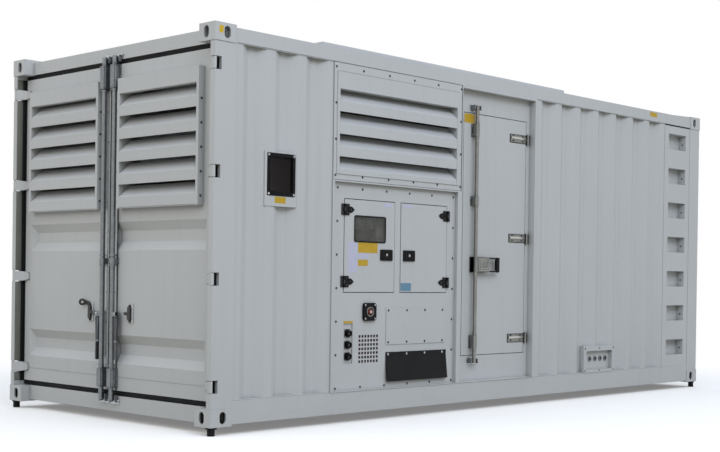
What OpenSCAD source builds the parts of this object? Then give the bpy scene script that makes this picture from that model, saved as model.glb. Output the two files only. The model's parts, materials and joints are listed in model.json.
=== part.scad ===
// Gas generator set in a 20 ft container: steel frame, insulated walls, louvred
// double doors, control cabinet, side door and ladder panel.
// Pieces are drawn in a working frame: x runs from the door end, y inwards from
// the near long side, z upwards from the underside of the corner castings.

/* [Overall] */
// Length over the corner castings
length = 6058; // [5900:1:7000]
// Width over the corner castings
width = 2438; // [2380:1:2600]
// Height over the corner castings
height = 2591; // [2570:1:2900]

/* [Corner castings] */
// Casting length along the container
cast_l = 178; // [170:1:184]
// Casting width across the container
cast_w = 162; // [155:1:168]
// Casting height
cast_h = 118; // [112:1:122]
// Wall thickness of the castings
cast_wall = 28; // [20:1:30]
// Length of the slot in the top and bottom faces
slot_l = 124; // [110:1:128]
// Width of the slot in the top and bottom faces
slot_w = 63.5; // [50:0.5:66]
// Distance of the slot centre from the end face
slot_from_end = 102.5; // [100:0.5:104]
// Distance of the slot centre from the side face
slot_from_side = 89.5; // [88:0.5:92]
// Height of the apertures in the side and end faces
port_h = 79.5; // [60:0.5:82]
// Width of the apertures in the side and end faces
port_w = 51; // [40:1:54]

/* [Feet] */
// Height of the support blocks
foot_h = 55; // [20:1:120]
// Length of a support block
foot_l = 92; // [80:1:150]
// Width of a support block
foot_w = 72; // [60:1:120]
// Inset of the blocks from the casting faces
foot_inset = 12; // [2:1:22]

/* [Frame] */
// Gap between the casting underside and the bottom rails
rail_b_lift = 12.5; // [5:0.5:20]
// Height of the bottom side rails
rail_b_h = 152.5; // [150:0.5:165]
// Drop of the top rails below the casting tops
rail_t_drop = 17; // [8:1:24]
// Height of the top side rails
rail_t_h = 94; // [90:1:110]
// Thickness of the side rails
rail_t = 60; // [50:1:64]
// Length of the sloped gusset on the top rail at the blank end
gusset_l = 330; // [150:10:400]
// Posts and rails behind the corner castings' faces
frame_set = 4; // [0:1:8]

// Width of the side face of the door-end posts
post_l = 190; // [186:1:220]
// Depth of the door-end posts from the side
post_w = 60; // [54:1:62]
// Section of the hinge bar along the post, seen from the end
hinge_bar_w = 49; // [46:1:50]
// Depth of the hinge bar
hinge_bar_d = 60; // [58:1:62]
// Thickness of the blank-end posts
end_post_t = 100; // [80:1:110]

/* [Walls] */
// Depth of the inner wall face from the outer plane
wall_d = 100; // [92:1:110]
// Setback of the corrugation crests from the outer plane
wall_set = 10; // [4:1:12]
// Pitch of the corrugations
corr_pitch = 278; // [270:1:300]
// Width of the flat at the bottom of a corrugation
corr_flat = 70; // [50:1:90]
// Width of a corrugation slope
corr_slope = 68; // [40:1:76]
// Depth of the corrugations
corr_depth = 36; // [20:1:45]

/* [Roof and floor] */
// Thickness of the roof panel
roof_t = 60; // [40:1:80]
// Drop of the roof panel below the top rails
roof_drop = 14; // [4:1:20]
// Depth of the grooves across the roof
roof_groove = 20; // [8:1:24]
// Pitch of the grooves across the roof
roof_pitch = 209; // [160:1:260]
// Start of the roof hatch from the door end
hatch_x = 1000; // [900:10:1300]
// Length of the roof hatch
hatch_l = 2860; // [2400:10:3000]
// Height of the roof hatch above the roof panel
hatch_h = 52; // [30:1:60]
// Gap between the roof hatch and the side rails
hatch_gap = 4; // [1:1:20]
// Thickness of the floor deck
deck_t = 25; // [15:1:40]
// Pitch of the floor cross members
beam_pitch = 480; // [400:10:700]
// Width of a cross member
beam_w = 50; // [40:1:80]
// Gap under the cross members
beam_lift = 6; // [0:1:15]

/* [Door end frame] */
// Distance of the header and sill faces from the casting faces
header_d = 78; // [77:1:82]
// Height of the sill
sill_h = 109; // [90:1:112]
// Height of the header
header_h = 93; // [85:1:96]
// Clearance between the doors and the stops behind them
stop_gap = 6; // [5:1:8]
// Height of the stops behind the doors
stop_h = 44; // [40:1:60]

/* [Cargo doors] */
// Distance of the leaf faces from the casting faces
leaf_d = 75; // [74:1:76]
// Thickness of a leaf
leaf_t = 45; // [42:1:46]
// Distance of the leaf edge from the long side
leaf_edge = 65; // [65:1:67]
// Half of the gap between the two leaves
leaf_half_gap = 8; // [7:1:12]
// Height of the bottom seal gap
seal_b = 37; // [36:1:45]
// Height of the top seal gap
seal_t = 35; // [34:1:45]
// Clearance of the rubber seals to the frame
seal_gap = 6; // [5:1:8]
// Depth of the pressed grooves
groove_d = 36; // [20:1:38]
// Height of the flat in a groove
groove_flat = 76; // [60:1:90]
// Height of a groove's slope
groove_slope = 62; // [40:1:66]
// Distance of the upper groove's middle below the louvre box
groove_in_t = 190; // [180:5:210]
// Distance of the lower groove's middle above the leaf's lower edge
groove_in_b = 291.5; // [265:0.5:320]
// Margin between the grooves and the leaf edges
groove_margin = 92; // [40:1:110]

/* [Door louvres] */
// Distance of the louvre box from the container's middle
box_y = 120; // [115:1:160]
// Distance of a louvre box from the long side
box_edge = 193; // [185:1:260]
// Bottom of the louvre boxes
box_z = 1430; // [1420:5:1440]
// Distance of the louvre boxes' tops from the leaves' tops
box_drop = 109; // [100:1:125]
// Height that a louvre box stands proud of the leaf
box_proud = 48; // [40:1:50]
// Width of a louvre box's side walls
box_wall = 25; // [18:1:35]
// Height of the closed part above the blades
cap_h = 107; // [80:1:130]
// Pitch of the door louvre blades
blade_pitch = 158; // [150:1:175]
// Height of a blade's vertical lip
blade_lip = 72; // [50:1:80]
// Thickness of the louvre blades
blade_t = 4; // [2:0.5:6]
// Depth of a blade from lip to rear edge
blade_run = 85; // [60:1:86]

/* [Lock rods] */
// Distance of the rods from the container's middle
rod_y = 62; // [58:1:66]
// Distance of the rod axis from the casting faces
rod_d = 42; // [40:1:44]
// Radius of the cargo door rods
rod_r = 17; // [14:0.5:18]
// Bottom end of the rods
rod_z0 = 90; // [88:1:96]
// Distance of the rods' top end from the casting tops
rod_drop = 91; // [88:1:96]
// Height of the middle guide
guide_mid_h = 40; // [30:1:60]
// Lower end of the middle guide
guide_mid_z = 1045; // [1000:5:1090]
// Running clearance of a rod in its guides
rod_gap = 0.3; // [0.1:0.1:0.5]
// Reach of the cam tongue from the rod axis
cam_reach = 22; // [20:1:29]
// Distance of the keeper lugs from the rod axis
lug_y = 29; // [28:1:38]
// Thickness of a keeper lug
lug_t = 8; // [5:1:10]
// Lug front behind the rod's middle
lug_set = 10; // [0:1:14]
// Width of a rod guide
guide_w = 64; // [56:1:70]
// Height of the upper and lower rod guides
guide_h = 136; // [60:1:140]
// Height of the guide at the top
guide_top_h = 168; // [130:1:180]
// Distance of the lower guide from the leaf's lower edge
guide_in_b = 20; // [10:1:40]
// Distance of the upper guide from the leaf's upper edge
guide_in_t = 2; // [0:1:60]
// Length of a hanging handle below its pivot
handle_l = 320; // [280:5:340]
// Width of a handle bar
handle_w = 28; // [20:1:30]
// Thickness of a handle bar
handle_t = 10; // [8:1:11]
// Height of the handle pivots
handle_z = 695; // [680:5:740]
// Distance of the handle pivot from the rod axis
handle_reach = 50; // [48:1:54]
// Distance of the handle's catch from the rod axis
catch_reach = 180; // [170:1:200]
// Width of the catch's plate
catch_w = 62; // [50:1:70]
// Height of the catch's plate
catch_h = 134; // [120:1:150]
// Drop of the catch's middle below the handle pivot
catch_drop = -7; // [-12:1:25]

/* [Hinges] */
// Distance of the hinge pins from both corner faces
pin_in = 14; // [14:1:15]
// Radius of the cargo hinge pins
pin_r = 7; // [5:0.5:8]
// Running clearance of the hinge pins
pin_gap = 0.1; // [0.05:0.05:0.3]
// Height of the notches in the hinge bar
notch_h = 84; // [82:1:100]
// Height of a hinge blade
hinge_h = 74; // [50:1:76]
// Height of a hinge blade's tip
hinge_tip_h = 46; // [30:1:74]
// Length of a hinge blade on the leaf
hinge_lap = 50; // [40:1:80]
// Thickness of a hinge blade
hinge_t = 14; // [10:1:15]
// Height of the lowest cargo door hinge
hinge_z_low = 260; // [240:5:280]
// Distance of the highest hinge from the casting tops
hinge_drop = 261; // [240:1:280]
// Number of hinges on a cargo door
hinge_n = 4; // [2:1:4]
// Radius of the eye at a hinge blade's end
eye_r = 10.5; // [10:0.5:11]

/* [Intake louvre and control bay] */
// Start of the bay from the door end
bay_x = 1055; // [1050:1:1075]
// Width of the bay
bay_w = 1384; // [1370:1:1400]
// Height of the joint between control plate and louvre
bay_split = 1655; // [1645:1:1670]
// Margin between the bay's edge and the louvre opening
intake_margin = 60; // [40:1:70]
// Bottom edge of the louvre opening
intake_z = 1708; // [1700:1:1725]
// Distance of the louvre opening below the top rail
intake_drop = 185; // [175:1:200]
// Depth of an intake blade from lip to rear edge
intake_run = 94; // [70:1:96]
// Setback of the louvre's bolting flange
flange_set = 5; // [2:1:7]
// Width of the raised frame round the louvre opening
intake_frame = 25; // [15:1:35]
// Distance of the raised frame's top below the top rail
intake_cap = 65; // [50:1:90]
// Depth of the recess with the control doors
recess_d = 30; // [26:1:34]
// Width of the frame strip left of the recess
strip_l = 20; // [15:1:30]
// Width of the frame strip right of the recess
strip_r = 41; // [30:1:50]
// Height of the frame strip above the recess
strip_t = 10; // [5:1:20]

/* [Control doors] */
// Distance of the left control door from the bay's left edge
cdoor_in_l = 145; // [140:1:155]
// Distance of the right control door from the bay's right edge
cdoor_in_r = 139; // [135:1:150]
// Height of the control doors
cdoor_h = 658; // [650:1:670]
// Lower edge of the control doors
cdoor_z = 870; // [865:1:880]
// Gap between the two control doors
cdoor_pillar = 70; // [64:1:80]
// Thickness of the control doors
cdoor_t = 20; // [15:1:22]
// Gap round the control doors
cdoor_gap = 5; // [5:0.5:6]
// Height that the doors stand proud of the plate
cdoor_proud = 2; // [1:0.5:3]
// Width of the window in the left control door
pane_w = 316; // [260:1:330]
// Height of the window
pane_h = 182; // [150:1:200]
// Distance of the window from the door's left edge
pane_in = 100; // [90:1:110]
// Distance of the window's top from the door's upper edge
pane_drop = 115; // [100:1:130]
// Height of a control door hinge
chinge_h = 80; // [60:1:90]
// Distance of the control door hinges from the door's ends
chinge_in = 74; // [60:1:90]
// Length of a control door hinge on the door
chinge_l = 100; // [80:1:110]
// Width of a latch
latch_w = 126; // [100:1:130]
// Height of a latch
latch_h = 80; // [60:1:90]
// Distance of a latch from the door's free edge
latch_in = 24; // [15:1:35]
// Height of a latch above the door's lower edge
latch_up = 230; // [200:1:250]
// Depth of the control cabinet behind the plate
cabinet_d = 200; // [120:5:260]
// Wall thickness of the control cabinet
cabinet_t = 15; // [8:1:16]

/* [Connection fittings] */
// Distance of the bolted cover plate from the bay's left edge
cover_in_l = 582; // [575:1:590]
// Distance of the cover plate from the bay's right edge
cover_in_r = 144; // [120:1:160]
// Height of the cover plate
cover_h = 270; // [240:1:275]
// Lower edge of the cover plate
cover_z = 485; // [480:1:490]
// Thickness of the cover plate
cover_t = 4; // [2:0.5:6]
// Height of the cable flap
flap_h = 215; // [190:1:220]
// Lower edge of the cable flap
flap_z = 215; // [210:1:220]
// Thickness of the cable flap
flap_t = 5; // [3:0.5:6]
// Distance that the flap's lower edge stands off
flap_flare = 20; // [8:1:22]
// Side of the square holes in the grille
grille_hole = 19; // [12:1:22]
// Pitch of the grille holes
grille_pitch = 30; // [26:1:30]
// Number of grille holes each way
grille_n = 7; // [3:1:7]
// Distance of the grille from the bay's left edge
grille_in = 303; // [295:1:310]
// Lower edge of the grille
grille_z = 362; // [355:1:370]
// Distance of the connector plate from the bay's left edge
conn_in = 150; // [140:1:155]
// Lower edge of the connector plate
conn_z = 360; // [350:1:370]
// Width of the connector plate
conn_w = 90; // [80:1:95]
// Height of the connector plate
conn_h = 285; // [270:1:290]
// Radius of a connector
conn_r = 22; // [16:1:28]
// Pitch of the connectors
conn_pitch = 82; // [70:1:86]
// Distance of the emergency stop box from the bay's left edge
estop_in = 337; // [330:1:345]
// Lower edge of the emergency stop box
estop_z = 664; // [655:1:675]
// Length of the emergency stop box's side
estop_w = 128; // [110:1:135]

/* [Inspection window] */
// Left edge of the inspection window from the door end
insp_x = 455; // [440:1:470]
// Width of the inspection window
insp_w = 250; // [220:1:260]
// Lower edge of the inspection window
insp_z = 1510; // [1480:5:1540]
// Height of the inspection window
insp_h = 285; // [250:1:300]
// Border of the plate round the inspection window
insp_border = 20; // [10:1:30]

/* [Personnel door] */
// Width of the door bay
dbay_w = 961; // [950:1:980]
// Depth of the door recess
pdoor_d = 58; // [55:1:60]
// Width of the door leaf
pdoor_w = 798; // [780:1:810]
// Distance of the door leaf below the top rail
pdoor_drop = 198; // [190:1:215]
// Lower edge of the door leaf
pdoor_z = 374; // [365:1:380]
// Thickness of the door leaf
pdoor_t = 45; // [35:1:46]
// Distance of the hinge edge from the bay's far side
pdoor_edge = 77; // [74:1:80]
// Gap round the door leaf
pdoor_gap = 5; // [5:0.5:6]
// Width of the recess's near side wall
jamb_l = 6; // [4:1:8]
// Width of the recess's hinge side wall
jamb_r = 25; // [20:1:28]
// Depth of the door frame behind the outer plane
frame_d = 128; // [124:1:150]
// Distance of the lowest strap hinge from the leaf's lower edge
strap_in_b = 121; // [100:1:140]
// Distance of the highest strap hinge from the leaf's upper edge
strap_in_t = 147; // [120:1:170]
// Distance of the rod from the leaf's free edge
prod_in = 118; // [110:1:125]
// Distance of the rod axis from the outer plane
prod_d = 20; // [18:1:22]
// Radius of the personnel door rod
prod_r = 15; // [12:0.5:16]
// Width of the rod's guides
pguide_w = 60; // [60:1:80]
// Height of the upper and lower guides
pguide_h = 100; // [60:1:110]
// Distance of the lower guide from the leaf's lower edge
pguide_in_b = 56; // [40:1:80]
// Distance of the upper guide from the leaf's upper edge
pguide_in_t = 82; // [60:1:100]
// Length of the rod beyond the leaf at each end
prod_over = 62; // [38:1:70]
// Width of the tray behind the lever
tray_w = 180; // [150:1:200]
// Tray beyond the rod's middle, towards the hinge-free edge
tray_in = 30; // [20:1:50]
// Height of the tray
tray_h = 124; // [80:1:130]
// Height of the lever's middle above the leaf's lower edge
lever_up = 716; // [700:1:740]
// Length of the lever from the rod axis
lever_l = 290; // [260:1:300]
// Height of the lever
lever_h = 118; // [100:1:124]
// Thickness of the lever
lever_t = 14; // [10:1:16]
// Length of the grip opening in the lever
grip_l = 100; // [80:1:110]
// Height of the grip opening
grip_h = 86; // [70:1:90]
// Height of a strap hinge
strap_h = 84; // [60:1:90]
// Height of the strap plate on the leaf
strap_plate_h = 62; // [50:1:84]
// Length of a strap hinge's moving leaf
strap_l = 222; // [180:1:240]

/* [Terminal box] */
// Left edge of the terminal box from the door end
term_x = 4125; // [4000:5:4150]
// Width of the terminal box
term_w = 480; // [460:1:500]
// Border round the terminal box's opening
term_border = 40; // [35:1:50]
// Height of the terminal box
term_h = 235; // [225:1:245]
// Depth of the terminal box
term_d = 90; // [85:1:95]
// Depth of its recess
term_recess = 35; // [30:1:50]
// Radius of the terminal holes
term_r = 17; // [12:0.5:20]
// Pitch of the terminal holes
term_pitch = 80; // [60:1:82]
// Distance of the terminal holes' middle from the box's left edge
term_mid = 256; // [205:1:270]
// Height of the terminal holes above the box's foot
term_up = 120; // [90:1:130]

/* [Ladder panel] */
// Width of the ladder panel
ladder_w = 460; // [450:1:480]
// Setback of the ladder panel
ladder_set = 7; // [2:1:10]
// Width of a step pocket
step_w = 310; // [280:1:320]
// Height of a step pocket
step_h = 147; // [130:1:155]
// Depth of a step pocket
step_d = 75; // [60:1:80]
// Distance of the last step below the top rail
step_drop = 87; // [80:1:110]
// Lower edge of the first step
step_z = 275; // [265:1:280]
// Number of steps
step_n = 7; // [3:1:7]

/* [Hidden] */
$fn = 48;

eps = 0.5;
paint = [0.80, 0.82, 0.82];
dark = [0.12, 0.12, 0.13];
zinc = [0.66, 0.67, 0.68];
steel = [0.75, 0.76, 0.78];

// Levels and bays that several pieces share
wall_z0 = rail_b_lift + rail_b_h;
rail_t_top = height - rail_t_drop;
wall_z1 = rail_t_top - rail_t_h;
header_top = rail_t_top - 4;
header_bot = header_top - header_h;
sill_top = rail_b_lift - 1 + sill_h;
leaf_z0 = sill_top + seal_b;
leaf_z1 = header_bot - seal_t;
leaf_back = leaf_d + leaf_t;
leaf_w = width / 2 - leaf_edge - leaf_half_gap;
stop_d = leaf_back + stop_gap;
roof_top = rail_t_top - roof_drop;
bay_end = bay_x + bay_w;
dbay_end = bay_end + dbay_w;
ladder_x = length - cast_l - ladder_w;
deck_x0 = post_l;
deck_x1 = length - wall_d;

// Cargo doors: louvre box, rods and hinges
box_v0 = box_edge;
box_v1 = width / 2 - box_y;
box_w = box_v1 - box_v0;
box_h = leaf_z1 - box_drop - box_z;
rod_v = width / 2 - rod_y;
rod_z1 = height - rod_drop;
hinge_step = (height - hinge_drop - hinge_z_low) / (hinge_n - 1);
hinge_zs = [for (i = [0:hinge_n - 1]) hinge_z_low + i * hinge_step];

// Intake louvre and control bay
intake_h = wall_z1 - intake_drop - intake_z;
cdoor_d = recess_d - cdoor_proud;
cdoor_x = bay_x + cdoor_in_l;
cdoor_w = (bay_w - cdoor_in_l - cdoor_in_r - cdoor_pillar) / 2;
cdoor_right_x = cdoor_x + cdoor_w + cdoor_pillar;
cdoor_pin_d = cdoor_d - 8;
cdoor_pin_out = 5;
cdoor_pin_r = 3;
cdoor_knuckle = 7.5;
chinge_zs = [cdoor_z + chinge_in, cdoor_z + cdoor_h - chinge_in];
pane_x = cdoor_x + pane_in;
pane_z = cdoor_z + cdoor_h - pane_drop - pane_h;
cover_x = bay_x + cover_in_l;
cover_w = bay_w - cover_in_l - cover_in_r;

// Personnel door
pdoor_h = wall_z1 - pdoor_drop - pdoor_z;
pdoor_x1 = dbay_end - pdoor_edge;
pdoor_x0 = pdoor_x1 - pdoor_w;
pdoor_back = pdoor_d + pdoor_t + pdoor_gap;
pdoor_pin = [pdoor_x1 + 11.5, pdoor_d - 12];
strap_z0 = pdoor_z + strap_in_b;
strap_z1 = pdoor_z + pdoor_h - strap_in_t;
strap_zs = [strap_z0, (strap_z0 + strap_z1) / 2, strap_z1];
strap_fixed = 38;
strap_knuckle = 10;
strap_pin_r = 4;
prod = [pdoor_x0 + prod_in, prod_d];
prod_z0 = pdoor_z - prod_over;
prod_z1 = pdoor_z + pdoor_h + prod_over;
lever_z = pdoor_z + lever_up;
leaf_t_hinge = 5;

// Ladder panel
step_pitch = (wall_z1 - step_drop - step_z - step_h) / (step_n - 1);

// Moves a child from the working frame to the part's own frame
module near() {
    translate([-length / 2, -width / 2, foot_h]) children();
}

// The same on the far long side
module far() {
    mirror([0, 1, 0]) near() children();
}

// A copy at each of the two door-end or blank-end corners
module both_sides() {
    near() children();
    far() children();
}

// A copy at all four corners
module corners() {
    both_sides() children();
    mirror([1, 0, 0]) both_sides() children();
}

// A box given by its two opposite corners
module box(a, b) {
    translate(a) cube(b - a);
}

// Extrudes a plan outline between two heights
module tall(z0, z1) {
    translate([0, 0, z0]) linear_extrude(z1 - z0) children();
}

// Extrudes an outline drawn in x and z through a depth range
module deep(y0, y1) {
    translate([0, y1, 0]) rotate([90, 0, 0]) linear_extrude(y1 - y0) children();
}

// Extrudes an outline drawn in y and z along a length range
module along(x0, x1) {
    translate([x0, 0, 0]) rotate([90, 0, 90]) linear_extrude(x1 - x0) children();
}

// An upright cylinder between two heights
module post(p, r, z0, z1) {
    translate([p[0], p[1], z0]) cylinder(r = r, h = z1 - z0);
}

// A cylinder that runs inwards from the side
module bore_in(x, z, r, y0, y1) {
    translate([x, y1, z]) rotate([90, 0, 0]) cylinder(r = r, h = y1 - y0);
}

// A rounded rectangle with its lower left corner at the origin
module rounded(w, h, r) {
    translate([r, 0]) square([w - 2 * r, h]);
    translate([0, r]) square([w, h - 2 * r]);
    for (x = [r, w - r], y = [r, h - r]) translate([x, y]) circle(r);
}

// Outline of a strip t thick along a path, with mitred corners
function unit(v) = v / norm(v);
function miter(p, i) =
    let (a = unit(p[max(i, 1)] - p[max(i, 1) - 1]),
         b = i < len(p) - 1 ? unit(p[i + 1] - p[i]) : a, m = unit(a + b))
    [-m[1], m[0]] / (m * a);
function strip(p, t) =
    concat([for (i = [0:len(p) - 1]) p[i] + miter(p, i) * t / 2],
           [for (i = [len(p) - 1:-1:0]) p[i] - miter(p, i) * t / 2]);

// A slot outline with round ends, w wide and h high, centred
module slot2d(w, h) {
    square([w, h - w], center = true);
    for (s = [-1, 1]) translate([0, s * (h - w) / 2]) circle(w / 2);
}

// Corner castings ---------------------------------------------------------

// One casting with its slot, side port and end port
module casting(top) {
    slot_z = top ? cast_wall : -eps;
    difference() {
        cube([cast_l, cast_w, cast_h]);
        // Hollow inside that the three apertures open into
        box([cast_wall, cast_wall, cast_wall],
            [cast_l - 8, cast_w - 12, cast_h - cast_wall]);
        tall(slot_z, slot_z + cast_h - cast_wall + eps)
            translate([slot_from_end, slot_from_side]) rotate(90) slot2d(slot_w, slot_l);
        // End face port
        translate([0, slot_from_side, cast_h / 2]) along(-eps, cast_wall + eps)
            slot2d(port_w, port_h);
        // Side face port
        translate([slot_from_end, 0, cast_h / 2]) deep(-eps, cast_wall + eps)
            slot2d(port_w, port_h);
    }
}

module bottom_corner_castings() {
    color(paint) corners() casting(false);
}

module top_corner_castings() {
    color(paint) corners() translate([0, 0, height - cast_h]) casting(true);
}

module support_feet() {
    color(dark) corners()
        box([foot_inset, foot_inset, -foot_h],
            [foot_inset + foot_l, foot_inset + foot_w, 0]);
}

// Frame -------------------------------------------------------------------

// Post with the hinge bar in front and the door stop behind
module door_end_post() {
    top = height - cast_h;
    difference() {
        union() {
            box([frame_set, frame_set, cast_h], [hinge_bar_d, hinge_bar_w, top]);
            box([hinge_bar_d, frame_set, cast_h], [cast_l, post_w, top]);
            box([cast_l, frame_set, wall_z0], [post_l, wall_d, wall_z1]);
            box([stop_d, frame_set, wall_z0], [post_l, wall_d, top]);
        }
        for (z = hinge_zs) {
            box([-eps, -eps, z - notch_h / 2],
                [hinge_bar_d, hinge_bar_w + eps, z + notch_h / 2]);
            post([pin_in, pin_in], pin_r + pin_gap, z - notch_h, z + notch_h);
        }
    }
}

module door_end_posts() {
    color(paint) both_sides() door_end_post();
}

module blank_end_posts() {
    top = height - cast_h;
    color(paint) mirror([1, 0, 0]) both_sides() {
        box([frame_set, frame_set, cast_h], [cast_l, post_w, top]);
        box([frame_set, frame_set, wall_z0], [cast_l, wall_d, top]);
        box([frame_set, frame_set, cast_h], [end_post_t, cast_w, top]);
    }
}

module bottom_side_rails() {
    color(paint) both_sides()
        box([cast_l, frame_set, rail_b_lift], [length - cast_l, rail_t, wall_z0]);
}

// Top rails rise to the casting tops at the blank end
module top_side_rails() {
    x1 = length - cast_l;
    color(paint) both_sides() deep(frame_set, rail_t)
        polygon([[cast_l, wall_z1], [x1, wall_z1], [x1, height - 4],
                 [x1 - gusset_l, rail_t_top], [cast_l, rail_t_top]]);
}

// Header with the stop lip behind the doors
module door_header() {
    color(paint) near() deep(cast_w, width - cast_w)
        polygon([[header_d, header_bot], [stop_d, header_bot],
                 [stop_d, header_bot - stop_h], [post_l, header_bot - stop_h],
                 [post_l, header_top], [header_d, header_top]]);
}

// Sill with the stop lip behind the doors
module door_sill() {
    color(paint) near() deep(cast_w, width - cast_w)
        polygon([[header_d, rail_b_lift - 1], [post_l, rail_b_lift - 1],
                 [post_l, wall_z0], [stop_d, wall_z0], [stop_d, sill_top],
                 [header_d, sill_top]]);
}

module blank_end_rails() {
    color(paint) mirror([1, 0, 0]) near() {
        box([frame_set, cast_w, rail_b_lift], [wall_d, width - cast_w, wall_z0]);
        box([frame_set, cast_w, wall_z1], [cast_l, width - cast_w, rail_t_top]);
    }
}

// Floor and roof ----------------------------------------------------------

module floor_deck() {
    color([0.35, 0.36, 0.37]) near()
        box([deck_x0, rail_t, wall_z0 - deck_t], [deck_x1, width - rail_t, wall_z0]);
}

module floor_cross_members() {
    beams = floor((deck_x1 - deck_x0 - 2 * beam_w) / beam_pitch);
    first = deck_x0 + (deck_x1 - deck_x0 - beams * beam_pitch) / 2;
    color(paint) near() for (i = [0:beams])
        translate([first + i * beam_pitch - beam_w / 2, 0, 0])
            box([0, rail_t, rail_b_lift + beam_lift], [beam_w, width - rail_t, wall_z0 - deck_t]);
}

// Outline of a corrugated sheet backed to a flat face at depth t
function corrugation(len, set, depth, flat, slope, pitch) =
    let (n = floor(len / pitch), m = (len - n * pitch) / 2,
         crest = (pitch - flat - 2 * slope) / 2)
    concat([[0, set]],
           [for (i = [0:n - 1]) let (x = m + i * pitch + crest)
               each [[x, set], [x + slope, set + depth],
                     [x + slope + flat, set + depth], [x + 2 * slope + flat, set]]],
           [[len, set]]);

module roof_panel() {
    len = length - cast_l - deck_x0;
    slope = roof_groove * 1.5;
    top = corrugation(len, 0, roof_groove, 2 * roof_groove, slope, roof_pitch);
    outline = concat([for (p = top) [p[0], -p[1]]], [[len, -roof_t], [0, -roof_t]]);
    color(paint) near() translate([deck_x0, 0, roof_top])
        deep(rail_t, width - rail_t) polygon(outline);
}

module roof_hatch() {
    y0 = rail_t + hatch_gap;
    color(paint) near()
        box([hatch_x, y0, roof_top], [hatch_x + hatch_l, width - y0, roof_top + hatch_h]);
}

// Walls -------------------------------------------------------------------

// A corrugated wall of a given length, flat inside
module corrugated(len) {
    outer = corrugation(len, wall_set, corr_depth, corr_flat, corr_slope, corr_pitch);
    tall(wall_z0, wall_z1) polygon(concat(outer, [[len, wall_d], [0, wall_d]]));
}

module wall_front_left() {
    b = insp_border;
    color(paint) near() difference() {
        union() {
            translate([post_l, 0, 0]) corrugated(bay_x - post_l);
            box([insp_x - b, wall_set - 4, insp_z - 3.5 * b],
                [insp_x + insp_w + b / 2, wall_d - 40, insp_z + insp_h + b / 2]);
        }
        box([insp_x, -eps, insp_z], [insp_x + insp_w, wall_d - 40, insp_z + insp_h]);
    }
}

module wall_front_right() {
    color(paint) near() difference() {
        translate([dbay_end, 0, 0]) corrugated(ladder_x - dbay_end);
        box([term_x, -eps, wall_z0 - eps], [term_x + term_w, term_d, wall_z0 + term_h]);
    }
}

module wall_back() {
    color(paint) far() difference() {
        translate([post_l, 0, 0]) corrugated(length - cast_l - post_l);
        box([bay_x, -eps, bay_split], [bay_end, wall_d + eps, wall_z1 + eps]);
    }
}

module end_wall() {
    span = width - 2 * cast_w;
    color(paint) mirror([1, 0, 0]) near() translate([0, width - cast_w, 0])
        rotate([0, 0, -90]) corrugated(span);
}

// Louvres -----------------------------------------------------------------

// One blade in section: upright lip in front, slope rising inwards
module blade2d(run) {
    rise = run - blade_t;
    polygon([[0, 0], [blade_t, 0], [blade_t, blade_lip - 2],
             [run, blade_lip - 2 + rise], [run, blade_lip + 2 + rise], [0, blade_lip]]);
}

// Bay louvre with its bolting flange, open through the wall
module bay_louvre() {
    x0 = bay_x + intake_margin;
    x1 = bay_end - intake_margin;
    z1 = intake_z + intake_h;
    difference() {
        union() {
            box([bay_x, flange_set, bay_split], [bay_end, wall_d, wall_z1]);
            box([x0 - intake_frame, 0, intake_z - 10],
                [x1 + intake_frame, wall_d, wall_z1 - intake_cap]);
        }
        box([x0, -eps, intake_z], [x1, wall_d + eps, z1]);
    }
    for (z = [z1 - blade_pitch : -blade_pitch : intake_z - blade_lip])
        intersection() {
            translate([0, 2, z]) along(x0 - eps, x1 + eps) blade2d(intake_run);
            box([bay_x, 0, intake_z - eps], [bay_end, wall_d, z1 + eps]);
        }
}

module intake_louvre() {
    color(paint) near() bay_louvre();
}

module back_louvre() {
    color(paint) far() bay_louvre();
}

// Control bay -------------------------------------------------------------

// Opening that a control door closes
module control_opening(x) {
    g = cdoor_gap;
    box([x - g, -eps, cdoor_z - g],
        [x + cdoor_w + g, wall_d + eps, cdoor_z + cdoor_h + g]);
}

conn_x = bay_x + conn_in;
grille_x = bay_x + grille_in;

module control_plate() {
    flap_x1 = cover_x + cover_w;
    span = (grille_n - 1) * grille_pitch + grille_hole;
    color(paint) near() difference() {
        box([bay_x, 0, wall_z0], [bay_end, wall_d, bay_split]);
        box([bay_x + strip_l, -eps, wall_z0 + 5],
            [bay_end - strip_r, recess_d, bay_split - strip_t]);
        control_opening(cdoor_x);
        control_opening(cdoor_right_x);
        // Cable entry behind the flap
        box([cover_x + 30, 0, flap_z + 15],
            [flap_x1 - 30, wall_d + eps, flap_z + flap_h - 35]);
        // Shallow pocket of the connector plate
        box([conn_x, 0, conn_z], [conn_x + conn_w, recess_d + 8, conn_z + conn_h]);
        // Square grille holes in a thin skin
        for (i = [0:grille_n - 1], j = [0:grille_n - 1])
            translate([grille_x + i * grille_pitch, recess_d - eps, grille_z + j * grille_pitch])
                cube([grille_hole, 10, grille_hole]);
        box([grille_x - 5, recess_d + 4, grille_z - 5],
            [grille_x + span + 5, wall_d + eps, grille_z + span + 5]);
    }
}

module control_cabinet() {
    g = cdoor_gap + cabinet_t;
    x0 = cdoor_x - g;
    x1 = cdoor_right_x + cdoor_w + g;
    mid = cdoor_x + cdoor_w + cdoor_pillar / 2;
    z0 = cdoor_z - g;
    z1 = cdoor_z + cdoor_h + g;
    back = wall_d + cabinet_d;
    t = cabinet_t;
    color([0.55, 0.57, 0.58]) near() difference() {
        box([x0, wall_d, z0], [x1, back, z1]);
        box([x0 + t, wall_d - eps, z0 + t], [mid - t / 2, back - t, z1 - t]);
        box([mid + t / 2, wall_d - eps, z0 + t], [x1 - t, back - t, z1 - t]);
    }
}

module cover_plate() {
    color(paint) near() translate([cover_x, recess_d - cover_t, cover_z])
        cube([cover_w, cover_t, cover_h]);
}

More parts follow.
